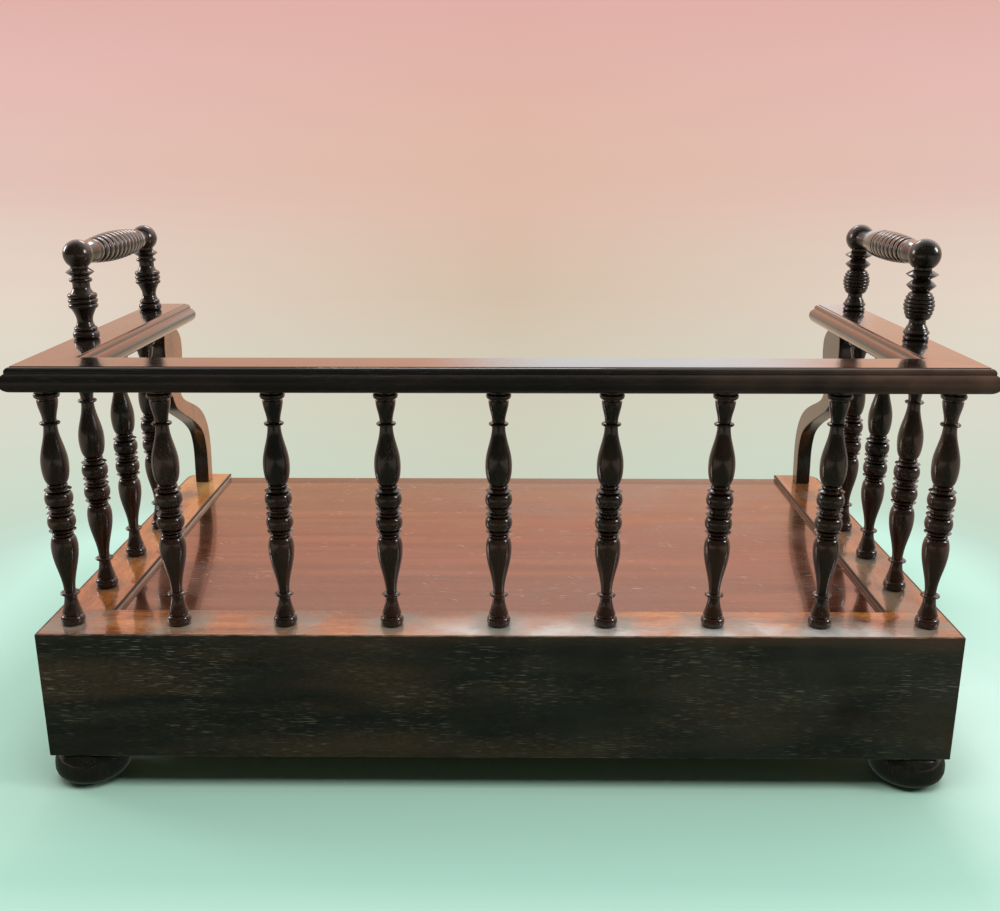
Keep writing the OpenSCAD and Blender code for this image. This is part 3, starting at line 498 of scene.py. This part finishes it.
def turnedSpine(name, steps):
    points, base = [], 0.0
    for step in steps:
        for radius, height in stepPoints(step, base):
            if points and height < points[-1][1] + turning["leastRise"]:
                if abs(radius - points[-1][0]) < turning["leastRise"]:
                    continue
                height = points[-1][1] + turning["leastRise"]
            points.append((radius, height))
        base += step[1]
    curve = bpy.data.curves.new(name, "CURVE")
    curve.dimensions = "3D"
    spline = curve.splines.new("POLY")
    spline.points.add(len(points) - 1)
    for point, (radius, height) in zip(spline.points, points):
        point.co = (0, 0, height*mm, 1)
        point.radius = radius*mm
    return addObject(name, curve)


# Geometry Nodes: sweep a circle along a spine whose radius is the profile, and stand a copy on every spot
def buildTurnedTree():
    tree = bpy.data.node_groups.new("turnedPieces", "GeometryNodeTree")
    face = tree.interface
    for name, kind in (("Spots", "Geometry"), ("Spine", "Object"), ("Sides", "Int"), ("Tilt", "Vector"),
                       ("Spread", "Float"), ("Seed", "Int"), ("Finish", "Material")):
        face.new_socket(name=name, in_out="INPUT", socket_type="NodeSocket" + kind)
    face.new_socket(name="Pieces", in_out="OUTPUT", socket_type="NodeSocketGeometry")
    given = addNode(tree, "NodeGroupInput").outputs
    spine = addNode(tree, "GeometryNodeObjectInfo", {"Object": given["Spine"]}).outputs["Geometry"]
    circle = addNode(tree, "GeometryNodeCurvePrimitiveCircle", {"Resolution": given["Sides"], "Radius": 1.0})
    radius = addNode(tree, "GeometryNodeInputRadius").outputs[0]
    swept = addNode(tree, "GeometryNodeCurveToMesh", {
        "Curve": spine, "Profile Curve": circle.outputs["Curve"], "Scale": radius, "Fill Caps": True})
    smooth = addNode(tree, "GeometryNodeSetShadeSmooth", {"Geometry": swept.outputs[0]})

    def chance(low, high, seedStep):
        seed = sums(tree, "ADD", given["Seed"], seedStep)
        node = addNode(tree, "FunctionNodeRandomValue", {"Seed": seed}, data_type="FLOAT")
        setInput(tree, node.inputs[2], low)
        setInput(tree, node.inputs[3], high)
        return node.outputs[1]

    # every copy is turned about its own axis and is a little thicker or thinner than the next
    thick = chance(sums(tree, "SUBTRACT", 1.0, given["Spread"]), 1.0, 1)
    scale = addNode(tree, "ShaderNodeCombineXYZ", {"X": thick, "Y": thick, "Z": 1.0})
    spin = addNode(tree, "FunctionNodeAxisAngleToRotation", {
        "Axis": (0, 0, 1), "Angle": chance(0.0, 2*math.pi, 2)})
    tilt = addNode(tree, "FunctionNodeEulerToRotation", {"Euler": given["Tilt"]})
    turn = addNode(tree, "FunctionNodeRotateRotation", {0: tilt.outputs[0], 1: spin.outputs[0]},
                   rotation_space="LOCAL")
    copies = addNode(tree, "GeometryNodeInstanceOnPoints", {
        "Points": given["Spots"], "Instance": smooth.outputs[0], "Rotation": turn.outputs[0],
        "Scale": scale.outputs[0]})
    toned = addNode(tree, "GeometryNodeStoreNamedAttribute", {
        "Geometry": copies.outputs[0], "Name": "tone", "Value": chance(0.0, 1.0, 3)},
        data_type="FLOAT", domain="INSTANCE")
    real = addNode(tree, "GeometryNodeRealizeInstances", {"Geometry": toned.outputs[0]})
    coated = addNode(tree, "GeometryNodeSetMaterial", {"Geometry": real.outputs[0], "Material": given["Finish"]})
    out = addNode(tree, "NodeGroupOutput")
    tree.links.new(coated.outputs[0], out.inputs["Pieces"])
    return tree


turnedTree = buildTurnedTree()


def softenShading(work, degrees):
    for face in work.faces:
        face.smooth = True
    for edge in work.edges:
        if len(edge.link_faces) == 2:
            edge.smooth = edge.calc_face_angle(0) < math.radians(degrees)


def turnPieces(name, steps, spots, finish, nodes, body="case", tilt=(0, 0, 0), spread=0.0, seed=1):
    spine = turnedSpine(name + "Spine", steps)
    points = bpy.data.meshes.new(name + "Spots")
    points.from_pydata([tuple(spot) for spot in spots], [], [])
    maker = addObject(name + "Maker", points)
    modifier = maker.modifiers.new("turn", "NODES")
    modifier.node_group = turnedTree
    values = {"Spine": spine, "Sides": turning["sides"], "Tilt": [math.radians(a) for a in tilt],
              "Spread": spread, "Seed": seed, "Finish": finishes[finish]}
    for item in turnedTree.interface.items_tree:
        if item.in_out == "INPUT" and item.name in values:
            modifier[item.identifier] = values[item.name]
    mesh = bpy.data.meshes.new_from_object(maker.evaluated_get(bpy.context.evaluated_depsgraph_get()))
    for helper in (maker, spine):
        bpy.data.objects.remove(helper)
    mesh.name = name
    work = bmesh.new()
    work.from_mesh(mesh)
    softenShading(work, turning["crease"])
    work.to_mesh(mesh)
    work.free()
    piece = addObject(name, mesh)
    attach(piece, body)
    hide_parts(*nodes)
    print("turned", name, len(mesh.polygons), "faces")


baluster = {
    "foot": [("bead", 4.4, 3.9, 5.2), ("line", 1.0, 3.7, 3.7), ("bell", 8.2, 4.3, 2.6), ("bead", 1.6, 2.6, 4.1),
             ("ease", 20.6, 2.4, 5.6), ("dome", 5.2, 5.6, 4.1)],
    "middle": [("bead", 1.6, 3.4, 4.4), ("disc", 2.0, 3.7, 5.65), ("bead", 5.9, 4.4, 5.85),
               ("disc", 1.9, 4.2, 5.65), ("line", 0.8, 4.0, 4.0), ("disc", 1.9, 4.2, 5.65),
               ("bead", 5.9, 4.4, 5.85), ("disc", 2.0, 3.7, 5.65), ("bead", 1.6, 3.3, 4.2)],
    "swell": ("cup", 8.6, 3.4, 5.7),
    "vase": (5.7, 2.8),
    "head": [("bead", 1.6, 2.8, 4.2), ("ease", 9.2, 2.8, 4.3), ("line", 0.8, 3.5, 3.5), ("bead", 2.6, 4.3, 5.3),
             ("line", 1.7, 4.5, 4.5)],
    "spread": 0.02, "seed": 5,
}
balusterHeight = (railBottom - baseTop)/mm
belowVase = baluster["foot"] + baluster["middle"] + [baluster["swell"]]
vaseHeight = balusterHeight - heightOf(belowVase) - heightOf(baluster["head"])
balusterSteps = belowVase + [("ease", vaseHeight, *baluster["vase"])] + baluster["head"]
for row in ("back", "left", "right"):
    names = nodesNamed("baluster_" + row + "_")
    turnPieces("balusters" + row.capitalize(), balusterSteps, spotsAt(names, baseTop), "turnedUpright", names,
               spread=baluster["spread"], seed=baluster["seed"] + len(row))

# the two handles are turned to different patterns; the last step of a post is its ball
handles = {
    "right": {
        "stem": [("bead", 3.6, 4.8, 5.9), ("bead", 2.0, 4.2, 5.2), ("ease", 2.5, 4.2, 3.5),
                 ("flare", 5.9, 3.5, 5.5), ("bead", 2.3, 5.5, 6.45), ("bead", 2.3, 5.5, 6.5),
                 ("bead", 2.3, 5.5, 6.5), ("bell", 3.0, 5.2, 3.8), ("line", 1.9, 3.8, 3.8),
                 ("bead", 2.0, 3.8, 5.05), ("line", 0.8, 3.8, 3.8), ("disc", 3.6, 3.8, 6.2)],
        "ballRadius": 6.6, "reeds": 11, "reeded": 58, "reedShift": 2, "reedDepth": 1.0, "seed": 11,
    },
    "left": {
        "stem": [("bead", 2.0, 4.9, 5.7), ("disc", 2.8, 4.9, 5.9), ("ease", 3.0, 4.9, 3.7),
                 ("line", 1.4, 3.7, 3.7), ("cup", 2.4, 3.7, 5.7), ("bead", 1.7, 5.7, 6.2),
                 ("bead", 1.7, 6.1, 6.65), ("bead", 1.7, 6.3, 6.85), ("bead", 1.7, 6.1, 6.6),
                 ("bead", 1.7, 5.6, 6.1), ("dome", 1.9, 5.4, 3.5), ("disc", 5.6, 3.5, 6.5),
                 ("disc", 4.2, 3.7, 7.1)],
        "ballRadius": 7.2, "reeds": 8, "reeded": 38, "reedShift": 11, "reedDepth": 0.6, "seed": 12,
    },
}
ball = {"root": 40, "neck": 3.9}
grip = {"endRadius": 4.2, "fullness": 0.9, "sunk": 0.6}


def gripSteps(handle, length, thickest):
    def barrel(t):
        return grip["endRadius"] + (thickest - grip["endRadius"])*math.sin(math.pi*t)**grip["fullness"]
    plain = (length - handle["reeded"])/2
    first, last = plain + handle["reedShift"], plain - handle["reedShift"]
    pitch = handle["reeded"]/handle["reeds"]
    crests = [barrel((first + (i + 0.5)*pitch)/length) for i in range(handle["reeds"])]
    reeds = [("bead", pitch, crest - handle["reedDepth"], crest) for crest in crests]
    sunk = ("line", grip["sunk"], grip["endRadius"], grip["endRadius"])
    return [sunk, ("ease", first, grip["endRadius"], barrel(first/length)), *reeds,
            ("ease", last, barrel(1 - last/length), grip["endRadius"]), sunk]


for side, handle in handles.items():
    posts = nodesNamed("post_" + side + "_")
    gripLow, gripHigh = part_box("grip_" + side)
    handleZ = (gripLow.z + gripHigh.z)/2
    radius = handle["ballRadius"]
    neck = (handleZ - railTop)/mm - heightOf(handle["stem"]) - radius*math.cos(math.radians(ball["root"]))
    steps = handle["stem"] + [("line", neck, ball["neck"], ball["neck"]),
                              ("ball", ballHeight(ball["root"], radius), ball["root"], radius)]
    spots = spotsAt(posts, railTop)
    turnPieces("posts" + side.capitalize(), steps, spots, "turnedUpright", posts,
               seed=handle["seed"])

    # the grip runs from ball to ball and is sunk a little into both
    ends = sorted(spot[1] for spot in spots)
    land = math.sqrt(radius**2 - grip["endRadius"]**2)*mm
    length = (ends[1] - ends[0] - 2*land)/mm
    start = (spots[0][0], ends[0] + land - grip["sunk"]*mm, handleZ)
    turnPieces("grip" + side.capitalize(), gripSteps(handle, length, (gripHigh.z - gripLow.z)/2/mm), [start],
               "turnedGrip", ["grip_" + side], tilt=(-90, 0, 0), seed=handle["seed"])

foot = {"flatRadius": 8.5, "wideHeight": 6.6, "topRadius": 12.0, "seed": 23}
footLow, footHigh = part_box("foot_back_left")
footHeight, footRadius = (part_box("back_veneer")[0].z - footLow.z)/mm, (footHigh.x - footLow.x)/2/mm
footSteps = [("cup", foot["wideHeight"], foot["flatRadius"], footRadius),
             ("dome", footHeight - foot["wideHeight"], footRadius, foot["topRadius"])]
feet = nodesNamed("foot_")
turnPieces("bunFeet", footSteps, spotsAt(feet, footLow.z), "turnedFoot", feet,
           seed=foot["seed"])

knob = {"neckRadius": 5.0, "collar": (2.2, 1.6), "rim": (3.4, 0.8), "crown": (4.6, 0.5), "seed": 31}
knobLow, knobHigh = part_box("knob_left")
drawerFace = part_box("drawer_veneer")[0].y
knobOut, knobRadius = (drawerFace - knobLow.y)/mm, (knobHigh.x - knobLow.x)/2/mm
rimRadius = knob["rim"][1]*knobRadius
knobSteps = [
    ("bead", knob["collar"][0], knob["neckRadius"], knob["neckRadius"] + knob["collar"][1]),
    ("ease", knobOut - knob["collar"][0] - knob["rim"][0] - knob["crown"][0], knob["neckRadius"], rimRadius),
    ("bead", knob["rim"][0], rimRadius, knobRadius),
    ("bell", knob["crown"][0], rimRadius, knob["crown"][1]),
]
knobs = nodesNamed("knob_")
knobSpots = [(middleOf(node).x, drawerFace, middleOf(node).z) for node in knobs]
turnPieces("drawerKnobs", knobSteps, knobSpots, "turnedKnob", knobs, body="drawer",
           tilt=(90, 0, 0), seed=knob["seed"])


# boards, slips and rails take the solid's own shape, with the sharp edges rubbed round; angles are in degrees
dressing = {"weld": 0.002, "flat": 0.5, "corner": 40, "crease": 50, "segments": 2, "facing": 0.9}


def dressBoard(node, finish, edge, body="case"):
    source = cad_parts[node].data
    plain = bpy.data.meshes.new(node + "Dressed")
    plain.from_pydata([v.co for v in source.vertices], [], [p.vertices[:] for p in source.polygons])
    work = bmesh.new()
    work.from_mesh(plain)
    bmesh.ops.remove_doubles(work, verts=work.verts, dist=dressing["weld"]*mm)
    bmesh.ops.dissolve_limit(work, angle_limit=math.radians(dressing["flat"]), verts=work.verts, edges=work.edges)
    wear = work.faces.layers.float.new("edgeWear")
    sharp = math.radians(dressing["corner"])
    corners = [e for e in work.edges if len(e.link_faces) == 2 and e.calc_face_angle(0) > sharp]
    rounded = bmesh.ops.bevel(work, geom=corners, offset=edge*mm, segments=dressing["segments"], profile=0.5,
                              affect="EDGES", clamp_overlap=True)
    for face in rounded["faces"]:
        face[wear] = 1.0
    side, top = (work.faces.layers.float.new(name) for name in ("sideFace", "topFace"))
    for face in work.faces:
        face[side] = float(abs(face.normal.x) > dressing["facing"])
        face[top] = float(face.normal.z > dressing["facing"])
    softenShading(work, dressing["crease"])
    work.to_mesh(plain)
    work.free()
    plain.materials.append(finishes[finish])
    piece = addObject(node + "Dressed", plain)
    normals = piece.modifiers.new("evenFaces", "WEIGHTED_NORMAL")
    normals.keep_sharp = True
    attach(piece, body)
    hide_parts(node)


# node, finish, slot and how far its edges are rubbed, in mm
boards = [
    ("back_veneer", "backVeneer", "rosewood_veneer", 0.35), ("left_veneer", "sideVeneer", "rosewood_veneer", 0.35),
    ("right_veneer", "sideVeneer", "rosewood_veneer", 0.35), ("front_rail", "frontVeneer", "rosewood_veneer", 0.5),
    ("platform", "platformBoard", "platform_mahogany", 0.25), ("front_lip", "frontLip", "platform_mahogany", 0.4),
    ("border_back", "borderBack", "border_wood", 0.3), ("border_left", "borderLeft", "border_wood", 0.3),
    ("border_right", "borderRight", "border_wood", 0.3),
    ("rail_back", "railAcross", "rosewood_veneer", 0.3), ("rail_left", "railAlong", "rosewood_veneer", 0.3),
    ("rail_right", "railAlong", "rosewood_veneer", 0.3),
    ("bracket_left", "bracketDimReflection", "turned_rosewood", 0.6),
    ("bracket_right", "bracketWarmReflection", "turned_rosewood", 0.6),
]
for node, finish, slot, edge in boards:
    dressBoard(node, finish, edge)
drawerBoards = [
    ("drawer_front", "drawerAcross", 0.4), ("drawer_back", "drawerAcross", 0.5),
    ("drawer_bottom", "drawerAcross", 0.3), ("drawer_left_side", "drawerAlong", 0.5),
    ("drawer_right_side", "drawerAlong", 0.5),
]
for node, finish, edge in drawerBoards:
    dressBoard(node, finish, edge, body="drawer")
dressBoard("drawer_veneer", "frontVeneer", 0.35, body="drawer")
print("boards dressed:", len(boards) + len(drawerBoards) + 1)

# solids that keep their own shape
keptFinishes = {
    "back_board": "carcaseAcross", "left_board": "carcaseAlong", "right_board": "carcaseAlong",
    "bottom_board": "carcaseAcross", "drawer_stops": "drawerAcross", "bottom_screws": "screwSteel",
}
for node, finish in keptFinishes.items():
    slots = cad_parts[node].data.materials
    slots.clear()
    slots.append(finishes[finish])

# pale floor that fades into the backdrop: colours by distance from the base, in metres, at the sides and in the
# middle; the wood mirrors it green and dim on the near side, and warm beyond the open front
stage = {
    "radius": 30.0, "segments": 96, "roughness": 0.7, "fade": (0.04, 0.16), "power": 0.35,
    "sidesFrom": 0.54, "sidesFull": 0.45,
    # in both bands the first stops are darker within about 0.1 m of the base: painted shade round it
    "sides": [
        (0.0, (0.37, 0.58, 0.475)), (0.06, (0.39, 0.66, 0.555)), (0.11, (0.54, 0.81, 0.70)),
        (0.20, (0.585, 0.71, 0.59)), (0.50, (0.69, 0.70, 0.595)), (1.5, (0.78, 0.67, 0.57)),
        (6.0, (0.765, 0.555, 0.483)), (12.0, (0.77, 0.53, 0.465)),
    ],
    "middle": [
        (0.0, (0.37, 0.58, 0.475)), (0.06, (0.39, 0.66, 0.555)), (0.11, (0.54, 0.79, 0.68)),
        (0.20, (0.60, 0.64, 0.53)), (0.42, (0.63, 0.63, 0.50)), (1.4, (0.662, 0.525, 0.402)),
        (4.4, (0.738, 0.495, 0.40)), (12.0, (0.745, 0.487, 0.39)),
    ],
    # a pool of light painted on the floor close to the part's left end
    "paintedLightPatch": {
        "colour": (0.65, 0.91, 0.83), "share": 0.75,
        "across": (-0.185, -0.23), "along": (-0.08, 0.03), "reach": (0.20, 0.06),
    },
    "mirrored": [
        (0.10, (0.065, 0.083, 0.064)), (0.20, (0.33, 0.29, 0.22)), (0.36, (0.70, 0.52, 0.37)),
        (1.2, (0.68, 0.52, 0.39)), (2.2, (0.42, 0.36, 0.29)),
    ],
    "mirroredSides": (0.50, 0.41, 0.34), "mirroredReach": (0.28, 0.50),
}


def colourBand(tree, value, stops, power=1.0):
    low, high = stops[0][0]**power, stops[-1][0]**power
    if power != 1.0:
        value = sums(tree, "POWER", value, power)
    band = addNode(tree, "ShaderNodeValToRGB", {0: ramp(tree, value, low, high)})
    elements = band.color_ramp.elements
    while len(elements) < len(stops):
        elements.new(0.5)
    for element, (position, colour) in zip(elements, stops):
        element.position = (position**power - low)/(high - low)
        element.color = (*colour, 1)
    return band.outputs[0]


def floorMaterial(name):
    material, tree, shader = newMaterial(name)
    nowhere = (0, 0, 0)
    coords = objectCoords(tree)
    place = axesOf(tree, coords)
    reach = vectors(tree, "ABSOLUTE", coords, nowhere)
    reachAxes = axesOf(tree, reach)
    apart = vectors(tree, "SUBTRACT", reach, (cadBox[1].x, cadBox[1].y, 0))
    away = vectors(tree, "DISTANCE", vectors(tree, "MAXIMUM", apart, nowhere), nowhere)

    # seen by the camera: bands round the base, with a painted pool of light beside the part's left end
    slant = sums(tree, "DIVIDE", reachAxes["X"], sums(tree, "ADD", reachAxes["Y"], stage["sidesFrom"]))
    middle, sides = (colourBand(tree, away, stage[band], stage["power"]) for band in ("middle", "sides"))
    colour = blend(tree, ramp(tree, slant, 0.0, stage["sidesFull"]), middle, sides)
    pale = stage["paintedLightPatch"]
    paintedLightShare = ramp(tree, place["X"], *pale["across"], 0.0, pale["share"])
    paintedLightShare = sums(tree, "MULTIPLY", paintedLightShare, ramp(tree, place["Y"], *pale["along"]))
    paintedLightShare = sums(tree, "MULTIPLY", paintedLightShare, ramp(tree, away, *pale["reach"]))
    colour = blend(tree, paintedLightShare, colour, pale["colour"])
    setInput(tree, shader.inputs["Base Color"], colour)
    shader.inputs["Roughness"].default_value = stage["roughness"]
    ray = addNode(tree, "ShaderNodeLightPath").outputs
    glow = addNode(tree, "ShaderNodeEmission", {"Color": colour})
    glowShare = sums(tree, "MULTIPLY", ray["Is Camera Ray"], ramp(tree, away, *stage["fade"]))
    seen = addNode(tree, "ShaderNodeMixShader", {0: glowShare, 1: shader.outputs[0], 2: glow.outputs[0]})

    # mirrored in the wood
    beyond = colourBand(tree, sums(tree, "MULTIPLY", place["Y"], -1.0), stage["mirrored"])
    sideways = ramp(tree, reachAxes["X"], *stage["mirroredReach"])
    mirroredColour = blend(tree, sideways, beyond, stage["mirroredSides"])
    mirrored = addNode(tree, "ShaderNodeEmission", {"Color": mirroredColour})
    surface = addNode(tree, "ShaderNodeMixShader", {
        0: ray["Is Glossy Ray"], 1: seen.outputs[0], 2: mirrored.outputs[0]})
    setInput(tree, tree.nodes["Material Output"].inputs["Surface"], surface.outputs[0])
    return material


floorMesh = bpy.data.meshes.new("floor")
floorWork = bmesh.new()
bmesh.ops.create_circle(floorWork, cap_ends=True, segments=stage["segments"], radius=stage["radius"])
floorWork.to_mesh(floorMesh)
floorWork.free()
floorMesh.materials.append(floorMaterial("paleFloor"))
floor = addObject("floor", floorMesh)

# the room: a pink backdrop is what the camera sees; the wood mirrors a warm wall with pale windows in it,
# brighter to the part's left, and a dim green room on the near side; windows are placed in degrees
room = {
    "sides": [
        (0.0, (0.775, 0.528, 0.465)), (0.03, (0.787, 0.506, 0.457)), (0.075, (0.78, 0.486, 0.444)),
        (0.11, (0.75, 0.452, 0.407)), (1.0, (0.85, 0.78, 0.74)),
    ],
    "middle": [
        (0.0, (0.745, 0.487, 0.39)), (0.03, (0.75, 0.475, 0.39)), (0.075, (0.75, 0.455, 0.395)),
        (0.11, (0.75, 0.44, 0.39)), (1.0, (0.85, 0.78, 0.74)),
    ],
    "sidesFull": 0.42,
    "mirrored": [
        (0.0, (0.60, 0.42, 0.32)), (0.13, (0.63, 0.42, 0.31)), (0.20, (0.78, 0.42, 0.29)),
        (0.29, (0.86, 0.45, 0.27)), (0.34, (0.93, 0.41, 0.28)), (0.39, (1.10, 0.54, 0.39)),
        (0.43, (1.06, 0.59, 0.46)), (0.50, (1.0, 0.80, 0.70)), (0.58, (1.0, 0.95, 0.90)),
        (0.80, (0.95, 0.94, 0.92)), (1.0, (0.65, 0.65, 0.64)),
    ],
    "nearSide": (0.036, 0.044, 0.036), "turn": (-0.45, 0.25),
    "level": 1.2, "slope": (0.95, 1.15), "slopeAcross": (0.3, -0.3),
    "windows": [
        {"across": 7, "up": 5, "inner": 8, "outer": 12.5, "colour": (0.80, 0.80, 0.81)},
        {"across": 52, "up": 32, "inner": 12, "outer": 20, "colour": (0.92, 0.95, 1.0)},
        {"across": -52, "up": 32, "inner": 12, "outer": 20, "colour": (0.92, 0.95, 1.0)},
    ],
}


def windowShare(tree, direction, window):
    across, up, inner, outer = (math.radians(window[key]) for key in ("across", "up", "inner", "outer"))
    centre = (-math.sin(across)*math.cos(up), -math.cos(across)*math.cos(up), math.sin(up))
    nearness = vectors(tree, "DOT_PRODUCT", direction, centre)
    return ramp(tree, nearness, math.cos(outer), math.cos(inner))


world = bpy.data.worlds.new("softRoom")
bpy.context.scene.world = world
world.use_nodes = True
worldTree = world.node_tree
direction = addNode(worldTree, "ShaderNodeTexCoord").outputs["Generated"]
heading = axesOf(worldTree, direction)
seenMiddle, seenSides, mirroredColour = (
    colourBand(worldTree, heading["Z"], room[band]) for band in ("middle", "sides", "mirrored"))
sidesShare = ramp(worldTree, sums(worldTree, "ABSOLUTE", heading["X"]), 0.0, room["sidesFull"])
seenColour = blend(worldTree, sidesShare, seenMiddle, seenSides)
for window in room["windows"]:
    mirroredColour = blend(worldTree, windowShare(worldTree, direction, window), mirroredColour, window["colour"])
nearShare = ramp(worldTree, heading["Y"], *room["turn"])
mirroredColour = blend(worldTree, nearShare, mirroredColour, room["nearSide"])
slope = ramp(worldTree, heading["X"], *room["slopeAcross"], *room["slope"])
level = sums(worldTree, "MULTIPLY", slope, room["level"])
seen = addNode(worldTree, "ShaderNodeLightPath").outputs["Is Camera Ray"]
background = worldTree.nodes["Background"]
setInput(worldTree, background.inputs["Color"], blend(worldTree, seen, mirroredColour, seenColour))
setInput(worldTree, background.inputs["Strength"], ramp(worldTree, seen, 0.0, 1.0, level, 1.0))

# left and right as the camera sees them
lamps = [
    {"name": "overhead", "place": (0.0, 0.45, 1.6), "size": (1.3, 0.8), "power": 19,
     "colour": (1.0, 0.98, 0.96), "mirrored": False},
    {"name": "rightWindow", "place": (-1.38, 0.29, 0.82), "size": (0.35, 0.5), "power": 9,
     "colour": (0.95, 0.98, 1.0), "mirrored": True},
    {"name": "leftWindow", "place": (1.5, -0.45, 0.68), "size": (0.4, 0.5), "power": 6,
     "colour": (1.0, 0.97, 0.94), "mirrored": True},
    {"name": "highWindow", "place": (0.1, -1.25, 1.4), "size": (0.6, 0.3), "power": 4,
     "colour": (1.0, 0.99, 0.97), "mirrored": True},
]
aim = Vector((0, 0, 0.1))
for lamp in lamps:
    light = bpy.data.lights.new(lamp["name"], "AREA")
    light.shape = "RECTANGLE"
    light.size, light.size_y = lamp["size"]
    light.energy = lamp["power"]
    light.color = lamp["colour"]
    holder = addObject(lamp["name"], light)
    holder.location = lamp["place"]
    holder.rotation_euler = (aim - Vector(lamp["place"])).to_track_quat("-Z", "Y").to_euler()
    holder.visible_camera = False
    holder.visible_glossy = lamp["mirrored"]
print("stage and light ready:", len(lamps), "lamps")

# the view of the photograph, from behind the gallery's long row; place and lens in mm, angles in degrees
view = {"place": (-4.18, 543.19, 276.61), "pitch": -16.098, "heading": 180.482, "lens": 38.447, "sensor": 36,
        "nearest": 10}
viewer = bpy.data.cameras.new("viewer")
viewer.lens = view["lens"]
viewer.sensor_width = view["sensor"]
viewer.sensor_fit = "HORIZONTAL"
viewer.clip_start = view["nearest"]*mm
viewerObject = addObject("viewer", viewer)
viewerObject.location = Vector(view["place"])*mm
viewerObject.rotation_euler = (math.radians(90 + view["pitch"]), 0, math.radians(view["heading"]))
bpy.context.scene.camera = viewerObject
bpy.context.scene.view_settings.view_transform = "Standard"
